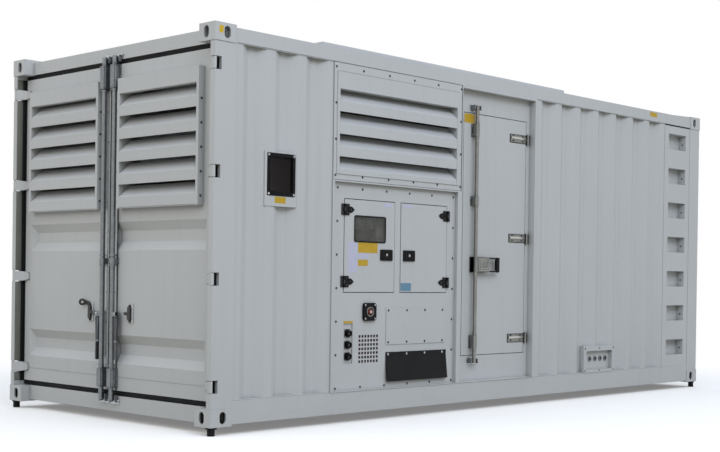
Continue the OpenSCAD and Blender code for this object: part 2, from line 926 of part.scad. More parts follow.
// Rubber sheet bolted along its top, standing off at the bottom
module cable_flap() {
    top = flap_z + flap_h;
    bend = top - 40;
    out = recess_d - flap_flare;
    color(dark) near() along(cover_x, cover_x + cover_w + 12)
        polygon([[recess_d - flap_t, top], [recess_d, top], [recess_d, bend],
                 [out, flap_z], [out - flap_t, flap_z], [recess_d - flap_t, bend]]);
}

module power_connectors() {
    mid = conn_z + conn_h / 2 - 8;
    x = conn_x + conn_w / 2;
    rim = 6;
    color(dark) near() for (i = [-1:1]) difference() {
        bore_in(x, mid + i * conn_pitch, conn_r, 10, recess_d + 8);
        bore_in(x, mid + i * conn_pitch, conn_r - rim, 10 - eps, 22);
    }
}

// Box with a ring-guarded push button
module emergency_stop() {
    c = [bay_x + estop_in + estop_w / 2, estop_z + estop_w / 2];
    front = recess_d - 18;
    floor_d = recess_d - 6;
    color(dark) near() {
        difference() {
            translate([c[0] - estop_w / 2, 0, estop_z]) deep(front, recess_d)
                rounded(estop_w, estop_w, 22);
            bore_in(c[0], c[1], 40, front - eps, floor_d);
        }
        bore_in(c[0], c[1], 12, front + 4, floor_d + eps);
        bore_in(c[0], c[1], 20, front - 8, front + 4);
    }
}

module inspection_window() {
    x1 = insp_x + insp_w;
    z1 = insp_z + insp_h;
    color(dark) near() difference() {
        box([insp_x, 0, insp_z], [x1, wall_d - 40, z1]);
        translate([insp_x + 26, 0, insp_z + 26]) deep(-eps, 22)
            rounded(insp_w - 52, insp_h - 52, 10);
    }
}

// Terminal box and ladder panel ------------------------------------------

module terminal_box() {
    z1 = wall_z0 + term_h;
    b = term_border;
    color(paint) near() difference() {
        box([term_x, 0, wall_z0], [term_x + term_w, term_d, z1]);
        box([term_x + b, -eps, wall_z0 + 25], [term_x + term_w - b, term_recess, z1 - b - 5]);
        for (i = [-1.5:1.5])
            bore_in(term_x + term_mid + i * term_pitch, wall_z0 + term_up, term_r,
                    term_recess - eps, term_recess + 30);
    }
}

module ladder_panel() {
    side = (ladder_w - step_w) / 2;
    color(paint) near() difference() {
        box([ladder_x, ladder_set, wall_z0], [ladder_x + ladder_w, wall_d, wall_z1]);
        for (i = [0:step_n - 1])
            translate([ladder_x + side, -eps, step_z + i * step_pitch])
                cube([step_w, ladder_set + step_d + eps, step_h]);
    }
}

// Personnel door ----------------------------------------------------------

// Return round the recess, back to the panel
module personnel_reveal() {
    color(paint) near() difference() {
        box([bay_end, 0, wall_z0], [dbay_end, pdoor_d, wall_z1]);
        box([bay_end + jamb_l, -eps, wall_z0 + 5],
            [dbay_end - jamb_r, pdoor_d + eps, wall_z1 - 20]);
    }
}

// Panel that the leaf closes flush with
module personnel_panel() {
    g = pdoor_gap;
    color(paint) near() difference() {
        box([bay_end, pdoor_d, wall_z0], [dbay_end, pdoor_back, wall_z1]);
        box([pdoor_x0 - g, 0, pdoor_z - g], [pdoor_x1 + g, frame_d, pdoor_z + pdoor_h + g]);
    }
}

// Stop behind the leaf
module personnel_stop() {
    lap = 20;
    color(paint) near() difference() {
        box([bay_end, pdoor_back, wall_z0], [dbay_end, frame_d, wall_z1]);
        box([pdoor_x0 + lap, 0, pdoor_z + lap],
            [pdoor_x1 - lap, frame_d + eps, pdoor_z + pdoor_h - lap]);
    }
}

module personnel_leaf() {
    color(paint) near()
        box([pdoor_x0, pdoor_d, pdoor_z], [pdoor_x1, pdoor_d + pdoor_t, pdoor_z + pdoor_h]);
}

// One hinge leaf with its share of the knuckle, pin axis at the origin.
// The leaf lies on a face at depth f behind the axis and reaches len to +x.
module hinge_leaf(h, kr, f, len, outer, bore, plate = 0) {
    t = leaf_t_hinge;
    half = (plate > 0 ? plate : h) / 2;
    third = h / 3;
    spans = outer ? [[-h / 2, -third / 2 - 1], [third / 2 + 1, h / 2]]
                  : [[-third / 2, third / 2]];
    difference() {
        union() {
            box([kr + 1, f - t, -half], [len, f, half]);
            for (s = spans) {
                post([0, 0], kr, s[0], s[1]);
                box([0, f - t, s[0]], [kr + 2, f, s[1]]);
            }
        }
        if (bore > 0) post([0, 0], bore, -h, h);
    }
}

// Strap hinges, rod guides and the tray behind the lever
module personnel_fittings() {
    f = pdoor_d - pdoor_pin[1];
    top = pdoor_z + pdoor_h - pguide_in_t;
    mid = pdoor_z + 0.62 * pdoor_h;
    color(steel) near() {
        for (z = strap_zs) translate([pdoor_pin[0], pdoor_pin[1], z]) mirror([1, 0, 0])
            hinge_leaf(strap_h, strap_knuckle, f, strap_l, true, strap_pin_r + pin_gap,
                       strap_plate_h);
        for (z = [[pdoor_z + pguide_in_b, pdoor_z + pguide_in_b + pguide_h],
                  [mid, mid + 0.7 * pguide_h], [top - pguide_h, top]])
            rod_guide(prod, prod_r, pdoor_d, pguide_w, z[0], z[1]);
        box([prod[0] - tray_in, pdoor_d - 8, lever_z - tray_h / 2],
            [prod[0] - tray_in + tray_w, pdoor_d, lever_z + tray_h / 2]);
    }
}

// A guide block that wraps a rod and sits on a face at depth f
module rod_guide(c, r, f, w, z0, z1) {
    out = r + 5;
    difference() {
        union() {
            post(c, out, z0, z1);
            box([c[0] - out, c[1], z0], [c[0] + out, f, z1]);
            box([c[0] - w / 2, f - 6, z0], [c[0] + w / 2, f, z1]);
        }
        post(c, r + rod_gap, z0 - eps, z1 + eps);
    }
}

// Rod with a tongue at each end and the boss that carries the lever
module personnel_rod() {
    color(steel) near() {
        post(prod, prod_r, prod_z0, prod_z1);
        for (z = [prod_z0, prod_z1 - 40])
            box([prod[0] - 7, prod[1], z], [prod[0] + 7, prod[1] + 24, z + 40]);
        box([prod[0], prod[1] - lever_t / 2, lever_z - 40],
            [prod[0] + prod_r + 9, prod[1] + lever_t / 2, lever_z + 40]);
    }
}

// Flat lever with a grip opening near its free end
module personnel_lever() {
    x0 = prod[0] + prod_r + 9;
    x1 = prod[0] + lever_l;
    grip = [x1 - 26 - grip_l, lever_z - grip_h / 2];
    color(steel) near() difference() {
        box([x0, prod[1] - lever_t / 2, lever_z - lever_h / 2],
            [x1, prod[1] + lever_t / 2, lever_z + lever_h / 2]);
        box([grip[0], 0, grip[1]], [grip[0] + grip_l, pdoor_d, grip[1] + grip_h]);
    }
}

// Fixed halves of the personnel and control door hinges, with their pins
module hinge_halves() {
    f = pdoor_d - pdoor_pin[1];
    color(steel) near() {
        for (z = strap_zs) translate([pdoor_pin[0], pdoor_pin[1], z]) {
            hinge_leaf(strap_h, strap_knuckle, f, strap_fixed, false, 0);
            post([0, 0], strap_pin_r, -strap_h / 2, strap_h / 2);
        }
        for (side = [0, 1]) for (z = chinge_zs) control_hinge_at(side, z) mirror([1, 0, 0]) {
            hinge_leaf(chinge_h, cdoor_knuckle, recess_d - cdoor_pin_d, 28, false, 0);
            post([0, 0], cdoor_pin_r, -chinge_h / 2, chinge_h / 2);
        }
    }
}

// Control doors -----------------------------------------------------------

// Puts a child at a control hinge, mirrored for the right door
module control_hinge_at(side, z) {
    x = side == 0 ? cdoor_x - cdoor_pin_out : cdoor_right_x + cdoor_w + cdoor_pin_out;
    translate([x, cdoor_pin_d, z]) mirror([side, 0, 0]) children();
}

module control_leaf(x) {
    box([x, cdoor_d, cdoor_z], [x + cdoor_w, cdoor_d + cdoor_t, cdoor_z + cdoor_h]);
}

module control_door_left() {
    color(paint) near() difference() {
        control_leaf(cdoor_x);
        translate([pane_x, 0, pane_z]) deep(0, wall_d) rounded(pane_w, pane_h, 14);
    }
}

module control_door_right() {
    color(paint) near() control_leaf(cdoor_right_x);
}

// Glazing in a rubber profile, set in the left door
module control_window() {
    c = 0.2;
    color([0.2, 0.22, 0.24, 0.5]) near() difference() {
        translate([pane_x + c, 0, pane_z + c]) deep(cdoor_d - 2, cdoor_d + 10)
            rounded(pane_w - 2 * c, pane_h - 2 * c, 14 - c);
        translate([pane_x + 10, 0, pane_z + 10]) deep(0, cdoor_d + 2)
            rounded(pane_w - 20, pane_h - 20, 8);
    }
}

// Pointed hinge leaves and the paddle latch of one control door
module control_fittings(side) {
    f = cdoor_d - cdoor_pin_d;
    h = chinge_h / 2;
    half = chinge_l / 2;
    for (z = chinge_zs) control_hinge_at(side, z) {
        hinge_leaf(chinge_h, cdoor_knuckle, f, half - 2, true, cdoor_pin_r + pin_gap);
        deep(f - leaf_t_hinge, f)
            polygon([[half - 3, -h * 0.6], [chinge_l * 0.75, -h * 0.5], [chinge_l, 0],
                     [chinge_l * 0.75, h * 0.5], [half - 3, h * 0.6]]);
    }
    x = side == 0 ? cdoor_x + cdoor_w - latch_in - latch_w : cdoor_right_x + latch_in;
    difference() {
        translate([x, 0, cdoor_z + latch_up]) deep(cdoor_d - 8, cdoor_d)
            rounded(latch_w, latch_h, 6);
        translate([x + 12, 0, cdoor_z + latch_up + 14]) deep(0, cdoor_d - 3)
            rounded(latch_w - 24, latch_h - 34, 4);
    }
}

module control_fittings_left() {
    color(dark) near() control_fittings(0);
}

module control_fittings_right() {
    color(dark) near() control_fittings(1);
}

// Cargo doors -------------------------------------------------------------

leaf_v0 = leaf_edge;
leaf_v1 = leaf_edge + leaf_w;

// A pressed groove with sloping edges all round
module groove(z) {
    f = groove_flat / 2;
    s = groove_flat / 2 + groove_slope;
    v0 = leaf_v0 + groove_margin;
    v1 = leaf_v1 - 12;
    front = leaf_d - eps;
    back = leaf_d + groove_d;
    intersection() {
        translate([0, 0, z]) deep(v0, v1)
            polygon([[front, -s], [leaf_d, -s], [back, -f], [back, f], [leaf_d, s], [front, s]]);
        tall(z - s, z + s)
            polygon([[front, v0], [leaf_d, v0], [back, v0 + 40], [back, v1 - 40],
                     [leaf_d, v1], [front, v1]]);
    }
}

module cargo_leaf() {
    difference() {
        box([leaf_d, leaf_v0, leaf_z0], [leaf_back, leaf_v1, leaf_z1]);
        groove(box_z - groove_in_t);
        groove(leaf_z0 + groove_in_b);
        box([0, box_v0 + box_wall, box_z + box_wall],
            [leaf_back + eps, box_v1 - box_wall, box_z + box_h - box_wall]);
    }
}

// Louvre box on the leaf; its blades reach into the leaf's opening
module cargo_louvre() {
    front = leaf_d - box_proud;
    z1 = box_z + box_h - cap_h;
    difference() {
        box([front, box_v0, box_z], [leaf_d, box_v1, box_z + box_h]);
        box([front - eps, box_v0 + box_wall, box_z + blade_t],
            [leaf_d + eps, box_v1 - box_wall, z1]);
    }
    for (i = [1:floor((box_h - cap_h) / blade_pitch)])
        translate([front, box_v0 + box_wall, z1 - i * blade_pitch])
            rotate([90, 0, 0]) mirror([0, 0, 1])
                linear_extrude(box_w - 2 * box_wall) blade2d(blade_run);
}

// Rubber seal above, below and along the meeting edge of a leaf
module cargo_seal() {
    u0 = leaf_d + 10;
    u1 = leaf_back - 10;
    box([u0, leaf_v0, leaf_z0 - seal_b + seal_gap], [u1, leaf_v1, leaf_z0]);
    box([u0, leaf_v0, leaf_z1], [u1, leaf_v1, leaf_z1 + seal_t - seal_gap]);
    box([u0, leaf_v1, leaf_z0 - seal_b + seal_gap],
        [u1, leaf_v1 + leaf_half_gap - 5, leaf_z1 + seal_t - seal_gap]);
}

// Hinge blade from the pin round the hinge bar to the leaf's face
module hinge_blade2d() {
    u = leaf_d - hinge_t / 2;
    v = leaf_edge + 26;
    pin = [pin_in, pin_in];
    translate(pin) circle(eye_r);
    polygon(strip([pin, [pin_in, pin_in + 26], [u, v], [u, v + hinge_lap]], hinge_t));
}

// Hinge blades that taper towards their tips, with their pins
module cargo_hinges() {
    h = hinge_h / 2;
    tip = hinge_tip_h / 2;
    v1 = leaf_edge + 26 + hinge_lap;
    for (z = hinge_zs) {
        intersection() {
            tall(z - h, z + h) hinge_blade2d();
            translate([0, 0, z]) along(-eps, leaf_d + eps)
                polygon([[-eps, -h], [leaf_edge, -h], [v1 + eps, -tip], [v1 + eps, tip],
                         [leaf_edge, h], [-eps, h]]);
        }
        post([pin_in, pin_in], pin_r, z - notch_h / 2 - 25, z + notch_h / 2 + 25);
    }
}

// Rod guides and the handle catch of one door
module cargo_fittings() {
    low = leaf_z0 + guide_in_b;
    top = leaf_z1 - guide_in_t;
    for (z = [[low, low + guide_h], [guide_mid_z, guide_mid_z + guide_mid_h],
              [top - guide_top_h, top]])
        translate([rod_d, rod_v, 0]) rotate([0, 0, -90])
            rod_guide([0, 0], rod_r, leaf_d - rod_d, guide_w, z[0], z[1]);
    // Catch that the raised handle lies in front of
    plate = leaf_d - 6;
    front = rod_d + handle_t / 2 + 6;
    translate([0, rod_v - catch_reach, handle_z - catch_drop]) {
        along(plate, leaf_d) slot2d(catch_w, catch_h);
        along(front, plate + eps) slot2d(catch_w / 2, catch_h * 0.75);
        box([front, 0, -9], [front + 8, catch_w, 9]);
    }
}

// Rod with a cam at each end and the ears that carry the handle
module cargo_rod() {
    c = [rod_d, rod_v];
    ear = handle_w / 2 + 3;
    gap = handle_t / 2 + 1;
    post(c, rod_r, rod_z0, rod_z1);
    for (z = [rod_z0 + 4, rod_z1 - 48])
        box([c[0], c[1] - 8, z], [c[0] + cam_reach, c[1] + 8, z + 44]);
    difference() {
        box([c[0] - gap - 7, c[1] - handle_reach - ear + 4, handle_z - ear],
            [c[0] + gap + 7, c[1], handle_z + ear]);
        box([c[0] - gap, c[1] - handle_reach - 2 * ear, handle_z - 2 * ear],
            [c[0] + gap, c[1] - handle_reach + ear + 1, handle_z + 2 * ear]);
    }
    translate([c[0] - gap - 7, c[1] - handle_reach, handle_z])
        rotate([0, 90, 0]) cylinder(r = 6, h = 2 * gap + 14);
}

// Flat bar that hangs from the rod's ears
module cargo_handle() {
    c = [rod_d - handle_t / 2, rod_v - handle_reach, handle_z];
    translate(c) rotate([90, 0, 90]) linear_extrude(handle_t) difference() {
        union() {
            circle(handle_w / 2);
            translate([-handle_w / 2, -handle_l]) square([handle_w, handle_l]);
        }
        circle(6 + pin_gap);
    }
}

// Keeper lugs either side of each rod end, on header, sill and door frame
module rod_keepers() {
    c = [rod_d, rod_v];
    color(zinc) both_sides() for (top = [0, 1]) for (s = [0, 1])
        translate([0, c[1], 0]) mirror([0, s, 0]) {
            z = top == 0 ? [rod_z0 - 14, sill_top - 3, sill_top + 8]
                         : [rod_z1 + 5, header_bot + 3, header_bot - 19];
            for (end = [[leaf_d - 5, z[2]], [header_d, z[1]]])
                box([rod_d + lug_set, lug_y, min(z[0], end[1])],
                    [end[0], lug_y + lug_t, max(z[0], end[1])]);
        }
    k = prod_r + 21;
    color(zinc) near() for (z = [prod_z0 - 3, prod_z1 - 34]) for (s = [-1, 1])
        box([prod[0] + s * k - 4, prod_d - 8, z], [prod[0] + s * k + 4, pdoor_d, z + 36]);
}

module cargo_leaf_right() {
    color(paint) near() cargo_leaf();
}

module cargo_leaf_left() {
    color(paint) far() cargo_leaf();
}

module cargo_louvre_right() {
    color(paint) near() cargo_louvre();
}

module cargo_louvre_left() {
    color(paint) far() cargo_louvre();
}

module cargo_seal_right() {
    color(dark) near() cargo_seal();
}

module cargo_seal_left() {
    color(dark) far() cargo_seal();
}

module cargo_hinges_right() {
    color(paint) near() cargo_hinges();
}

module cargo_hinges_left() {
    color(paint) far() cargo_hinges();
}

module cargo_fittings_right() {
    color(zinc) near() cargo_fittings();
}

module cargo_fittings_left() {
    color(zinc) far() cargo_fittings();
}

module cargo_rod_right() {
    color(zinc) near() cargo_rod();
}

module cargo_rod_left() {
    color(zinc) far() cargo_rod();
}

module cargo_handle_right() {
    color(zinc) near() cargo_handle();
}

module cargo_handle_left() {
    color(zinc) far() cargo_handle();
}

support_feet();
bottom_corner_castings();
top_corner_castings();
door_end_posts();
blank_end_posts();
bottom_side_rails();
top_side_rails();
door_header();
door_sill();
blank_end_rails();
floor_deck();
floor_cross_members();
roof_panel();
roof_hatch();
wall_front_left();
wall_front_right();
wall_back();
end_wall();
intake_louvre();
back_louvre();
control_plate();
control_cabinet();
cover_plate();
cable_flap();
power_connectors();
emergency_stop();
inspection_window();
personnel_reveal();
personnel_panel();
personnel_stop();
terminal_box();
ladder_panel();
rod_keepers();
hinge_halves();
cargo_leaf_right();
cargo_leaf_left();
cargo_louvre_right();
cargo_louvre_left();
cargo_seal_right();
cargo_seal_left();
cargo_hinges_right();
cargo_hinges_left();
cargo_fittings_right();
cargo_fittings_left();
cargo_rod_right();
cargo_rod_left();
cargo_handle_right();
cargo_handle_left();
personnel_leaf();
personnel_fittings();
personnel_rod();
personnel_lever();
control_door_left();
control_door_right();
control_window();
control_fittings_left();
control_fittings_right();
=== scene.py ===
import json
import math

import bpy
from mathutils import Matrix, Vector


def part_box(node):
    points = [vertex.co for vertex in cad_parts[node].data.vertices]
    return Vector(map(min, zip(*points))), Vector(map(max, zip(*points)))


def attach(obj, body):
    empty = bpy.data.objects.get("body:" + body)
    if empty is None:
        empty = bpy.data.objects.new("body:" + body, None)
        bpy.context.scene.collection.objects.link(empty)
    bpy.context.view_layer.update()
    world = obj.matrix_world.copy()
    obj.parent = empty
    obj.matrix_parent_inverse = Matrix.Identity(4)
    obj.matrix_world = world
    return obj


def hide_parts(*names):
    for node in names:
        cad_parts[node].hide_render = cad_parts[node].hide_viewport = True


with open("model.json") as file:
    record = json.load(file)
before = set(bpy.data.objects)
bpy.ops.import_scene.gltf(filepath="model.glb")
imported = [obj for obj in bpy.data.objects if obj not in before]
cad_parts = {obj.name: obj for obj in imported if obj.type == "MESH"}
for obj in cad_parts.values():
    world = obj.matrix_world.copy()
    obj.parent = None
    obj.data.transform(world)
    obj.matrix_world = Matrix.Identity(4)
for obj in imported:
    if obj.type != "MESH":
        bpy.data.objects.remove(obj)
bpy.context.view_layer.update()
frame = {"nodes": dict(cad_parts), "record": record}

print("frame loaded:", len(frame["nodes"]), "nodes")

mm = 0.001
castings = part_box("bottom_corner_castings")
corner = castings[0]  # door end, near side, underside of the castings


def spot(x, y, z):  # mm from the door end, inwards from the near side, up from the castings
    return corner + Vector((x, y, z)) * mm


def farSpot(x, y, z):  # the same, inwards from the far side
    place = spot(x, y, z)
    return Vector((place.x, -place.y, place.z))


bothSides = (("right", spot), ("left", farSpot))  # of the doors, seen from the door end
facing = {  # turns a piece modelled pointing up so that it points out of a face
    "near": Matrix.Rotation(math.radians(90), 4, "X"),
    "far": Matrix.Rotation(math.radians(-90), 4, "X"),
    "door": Matrix.Rotation(math.radians(-90), 4, "Y"),
    "roof": Matrix.Identity(4),
}
outward = {"near": (0, -1, 0), "door": (-1, 0, 0), "blank": (1, 0, 0), "roof": (0, 0, 1),
           "floor": (0, 0, -1)}


def rowOf(first, pitch, count):
    return [first + i * pitch for i in range(count)]


def clearSelection():
    if bpy.context.mode != "OBJECT":
        bpy.ops.object.mode_set(mode="OBJECT")
    bpy.ops.object.select_all(action="DESELECT")


def makeActive(piece):
    clearSelection()
    piece.select_set(True)
    bpy.context.view_layer.objects.active = piece


def pickFaces(piece, test):  # leaves the piece in edit mode with the passing faces selected
    makeActive(piece)
    bpy.context.tool_settings.mesh_select_mode = (False, False, True)
    for item in list(piece.data.vertices) + list(piece.data.edges):
        item.select = False
    for face in piece.data.polygons:
        face.select = bool(test(face.normal))
    bpy.ops.object.mode_set(mode="EDIT")


def workFaces(piece, way, *steps):
    # on the faces that look one way, each step is a border in mm left round them, a push
    # outwards in mm, and a scale
    pickFaces(piece, lambda normal: normal.dot(Vector(outward[way])) > 0.9)
    for border, push, *scale in steps:
        if border:
            bpy.ops.mesh.inset(thickness=border * mm)
        bpy.ops.mesh.extrude_region_move(
            TRANSFORM_OT_translate={"value": tuple(v * push * mm for v in outward[way])})
        if scale:
            bpy.ops.transform.resize(value=scale[0])
    bpy.ops.object.mode_set(mode="OBJECT")
    return piece


def cutThrough(piece, border, test):  # opens a piece between two opposite faces
    pickFaces(piece, test)
    bpy.ops.mesh.inset(thickness=border * mm)
    bpy.ops.mesh.bridge_edge_loops()
    bpy.ops.object.mode_set(mode="OBJECT")
    return piece


def addBlock(a, b):
    clearSelection()
    low = Vector(min(p, q) for p, q in zip(a, b))
    high = Vector(max(p, q) for p, q in zip(a, b))
    bpy.ops.mesh.primitive_cube_add(size=1, location=(low + high) / 2, scale=high - low)
    bpy.ops.object.transform_apply(location=True, rotation=True, scale=True)
    return bpy.context.object


def addRound(place, radius, high, toward, sides=24):  # a cylinder that stands on a face
    clearSelection()
    bpy.ops.mesh.primitive_cylinder_add(vertices=sides, radius=radius * mm, depth=high * mm,
                                        location=(0, 0, high * mm / 2))
    bpy.ops.object.transform_apply(location=True, rotation=True, scale=True)
    piece = bpy.context.object
    piece.data.transform(Matrix.Translation(place) @ facing[toward])
    return piece


def softenEdges(piece, width, segments=2, angle=35):
    makeActive(piece)
    bevel = piece.modifiers.new("bevel", "BEVEL")
    bevel.width = width * mm
    bevel.segments = segments
    bevel.limit_method = "ANGLE"
    bevel.angle_limit = math.radians(angle)
    bevel.harden_normals = False
    bpy.ops.object.modifier_apply(modifier=bevel.name)
    return piece


def softBlock(a, b, width, segments=2):
    return softenEdges(addBlock(a, b), width, segments)


def addTray(a, b, depth, border):  # a bezel: a block with its near face pressed in
    return workFaces(addBlock(a, b), "near", (border, -depth))


def addRim(a, b, border, radius=0):  # a flat frame: a block with its middle cut through
    rim = addBlock(a, b)
    if radius:  # rounds the four edges that run square to the side wall
        makeActive(rim)
        bpy.context.tool_settings.mesh_select_mode = (False, True, False)
        points = rim.data.vertices
        for item in list(points) + list(rim.data.polygons):
            item.select = False
        for edge in rim.data.edges:
            run = points[edge.vertices[0]].co - points[edge.vertices[1]].co
            edge.select = abs(run.normalized().y) > 0.9
        bpy.ops.object.mode_set(mode="EDIT")
        bpy.ops.mesh.bevel(offset=radius * mm, segments=6, affect="EDGES")
    return cutThrough(rim, border, lambda normal: abs(normal.y) > 0.9)


def joinPieces(parts):
    if len(parts) > 1:
        clearSelection()
        for part in parts:
            part.select_set(True)
        bpy.context.view_layer.objects.active = parts[0]
        bpy.ops.object.join()
    return parts[0]


def copyTo(part, places, toward):  # copies with their own meshes, joined; the pattern piece goes
    copies = []
    for place in places:
        copy = part.copy()
        copy.data = part.data.copy()
        copy.data.transform(Matrix.Translation(place) @ facing[toward])
        bpy.context.scene.collection.objects.link(copy)
        copies.append(copy)
    bpy.data.objects.remove(part)
    return joinPieces(copies)


def finishPiece(parts, name, body, finish, smooth=35):  # parts are one piece or a list to join
    piece = joinPieces(parts) if isinstance(parts, list) else parts
    makeActive(piece)
    bpy.ops.object.transform_apply(location=True, rotation=True, scale=True)
    bpy.ops.object.shade_smooth_by_angle(angle=math.radians(smooth))
    piece.name = name
    piece.data.name = name
    piece.data.materials.clear()
    piece.data.materials.append(finish)
    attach(piece, body)
    return piece


def hexColour(text):  # sRGB hex to linear
    parts = [int(text[i:i + 2], 16) / 255 for i in (1, 3, 5)]
    return tuple(c / 12.92 if c <= 0.04045 else ((c + 0.055) / 1.055) ** 2.4
                 for c in parts) + (1,)


def addNode(tree, kind, settings=None, links=None):
    # a link comes from a socket, or from a node by its first output
    node = tree.nodes.new(kind)
    for key, value in (settings or {}).items():
        if isinstance(key, int) or key in node.inputs:
            node.inputs[key].default_value = value
        else:
            setattr(node, key, value)
    for key, source in (links or {}).items():
        socket = source.outputs[0] if isinstance(source, bpy.types.Node) else source
        tree.links.new(socket, node.inputs[key])
    return node


def newFinish(name, sockets):  # the shader's plain values; patterns start from the coordinates
    material = bpy.data.materials.new(name)
    material.use_nodes = True
    tree = material.node_tree
    shader = tree.nodes["Principled BSDF"]
    for key, value in sockets.items():
        shader.inputs[key].default_value = value
    place = addNode(tree, "ShaderNodeTexCoord").outputs["Object"]
    return material, tree, shader, place


def linkSurface(tree, shader, colour, rough, height, relief, edge=0):
    # colour, roughness, and a fine relief, over edges worn round by so many mm
    tree.links.new(colour, shader.inputs["Base Color"])
    tree.links.new(rough, shader.inputs["Roughness"])
    links = {"Height": height}
    if edge:
        links["Normal"] = addNode(tree, "ShaderNodeBevel", {"samples": 4, "Radius": edge * mm})
    bump = addNode(tree, "ShaderNodeBump", {"Strength": relief[0], "Distance": relief[1]}, links)
    tree.links.new(bump.outputs[0], shader.inputs["Normal"])


def darkCreases(tree, colour, reach, dark, amount):  # grime, and painted shade, that darken corners and gaps by ambient occlusion
    crease = addNode(tree, "ShaderNodeAmbientOcclusion", {"samples": 6, "Distance": reach * mm})
    mask = addNode(tree, "ShaderNodeMapRange",
                   {"From Min": 0.25, "From Max": 0.85, "To Min": amount, "To Max": 0},
                   {"Value": crease.outputs["AO"]})
    mix = addNode(tree, "ShaderNodeMix", {"data_type": "RGBA", 7: hexColour(dark)},
                  {0: mask, 6: colour})
    return mix.outputs[2]


def darkPorts(tree, place, colour, look):  # painted shade, with some oily dirt, inside a casting's ports, by depth from its outer and inner faces
    size = addNode(tree, "ShaderNodeVectorMath", {"operation": "ABSOLUTE"}, {0: place})
    outer = addNode(tree, "ShaderNodeVectorMath", {"operation": "SUBTRACT", 0: look["outer"]},
                    {1: size})
    inner = addNode(tree, "ShaderNodeVectorMath", {"operation": "SUBTRACT", 0: look["block"]},
                    {1: outer})
    both = addNode(tree, "ShaderNodeVectorMath", {"operation": "MINIMUM"}, {0: outer, 1: inner})
    axes = addNode(tree, "ShaderNodeSeparateXYZ", None, {"Vector": both})
    least = addNode(tree, "ShaderNodeMath", {"operation": "MINIMUM"},
                    {0: axes.outputs["X"], 1: axes.outputs["Y"]})
    least = addNode(tree, "ShaderNodeMath", {"operation": "MINIMUM"},
                    {0: least, 1: axes.outputs["Z"]})
    mask = addNode(tree, "ShaderNodeMapRange",
                   {"From Min": 0.003, "From Max": 0.016, "To Max": look["portAmount"]},
                   {"Value": least})
    mix = addNode(tree, "ShaderNodeMix", {"data_type": "RGBA", 7: hexColour(look["portDark"])},
                  {0: mask, 6: colour})
    return mix.outputs[2]


def paintedPatch(tree, place, colour, patch):  # a plain stencilled rectangle on one flat face
    axes = addNode(tree, "ShaderNodeSeparateXYZ", None, {"Vector": place})
    inside = None
    for axis, middle, half in zip("XYZ", patch["middle"], patch["half"]):
        near = addNode(tree, "ShaderNodeMath", {"operation": "COMPARE", 1: middle, 2: half},
                       {0: axes.outputs[axis]})
        inside = near if inside is None else addNode(
            tree, "ShaderNodeMath", {"operation": "MULTIPLY"}, {0: inside, 1: near})
    mix = addNode(tree, "ShaderNodeMix", {"data_type": "RGBA", 7: hexColour(patch["colour"])},
                  {0: inside, 6: colour})
    return mix.outputs[2]


def sprayedPaint(name, look):
    # two-pack acrylic topcoat sprayed on blasted steel: satin, with a faint orange peel,
    # panels that are never quite flat, thin rain streaks and a different tint towards the ground
    material, tree, shader, place = newFinish(name, {"Specular IOR Level": 0.45})
    peel = addNode(tree, "ShaderNodeTexNoise",  # real peel is 3 mm, drawn at 16 to show
                   {"Scale": 1000 / 16, "Detail": 3, "Roughness": 0.55}, {"Vector": place})
    wave = addNode(tree, "ShaderNodeTexNoise", {"Scale": 1000 / 520, "Detail": 1.5},
                   {"Vector": place})
    tone = addNode(tree, "ShaderNodeTexNoise", {"Scale": 1000 / 780, "Detail": 4},
                   {"Vector": place})
    stretched = addNode(tree, "ShaderNodeMapping", {"Scale": (1000 / 60, 1000 / 60, 1000 / 1500)},
                        {"Vector": place})
    streak = addNode(tree, "ShaderNodeTexNoise", {"Scale": 1, "Detail": 3, "Roughness": 0.6},
                     {"Vector": stretched})
    streakMask = addNode(tree, "ShaderNodeMapRange",
                         {"From Min": 0.52, "From Max": 0.8, "To Max": look["streaks"]},
                         {"Value": streak})
    height = addNode(tree, "ShaderNodeSeparateXYZ", None, {"Vector": place})
    # a different tint towards the ground, patchy with the tone
    foot = addNode(tree, "ShaderNodeMapRange",
                   {"From Min": 0.05, "From Max": 0.75, "To Min": look["lowTintAmount"], "To Max": 0},
                   {"Value": height.outputs["Z"]})
    dustMask = addNode(tree, "ShaderNodeMath", {"operation": "MULTIPLY"}, {0: foot, 1: tone})
    toneMix = addNode(tree, "ShaderNodeMix",
                      {"data_type": "RGBA", 6: hexColour(look["light"]),
                       7: hexColour(look["shade"])}, {0: tone})
    streakMix = addNode(tree, "ShaderNodeMix", {"data_type": "RGBA", 7: hexColour(look["rain"])},
                        {0: streakMask, 6: toneMix.outputs[2]})
    dustMix = addNode(tree, "ShaderNodeMix", {"data_type": "RGBA", 7: hexColour(look["lowTint"])},
                      {0: dustMask, 6: streakMix.outputs[2]})
    # painted shade, with grime, in corners and gaps
    colour = darkCreases(tree, dustMix.outputs[2], 45, look["sootAndShade"], look["grimeAndShade"])
    if "portDark" in look:  # painted shade, with some oily dirt, inside the ports of a casting
        colour = darkPorts(tree, place, colour, look)
    if "patch" in look:
        colour = paintedPatch(tree, place, colour, look["patch"])
    gloss = addNode(tree, "ShaderNodeMapRange",
                    {"From Min": 0.3, "From Max": 0.7, "To Min": look["gloss"][0],
                     "To Max": look["gloss"][1]}, {"Value": tone})
    edge = addNode(tree, "ShaderNodeBevel", {"samples": 4, "Radius": look["edge"] * mm})
    waveBump = addNode(tree, "ShaderNodeBump", {"Strength": 0.35, "Distance": 0.006},
                       {"Height": wave, "Normal": edge})
    peelBump = addNode(tree, "ShaderNodeBump", {"Strength": 0.12, "Distance": 0.0006},
                       {"Height": peel, "Normal": waveBump})
    tree.links.new(colour, shader.inputs["Base Color"])
    tree.links.new(gloss.outputs[0], shader.inputs["Roughness"])
    tree.links.new(peelBump.outputs[0], shader.inputs["Normal"])
    return material


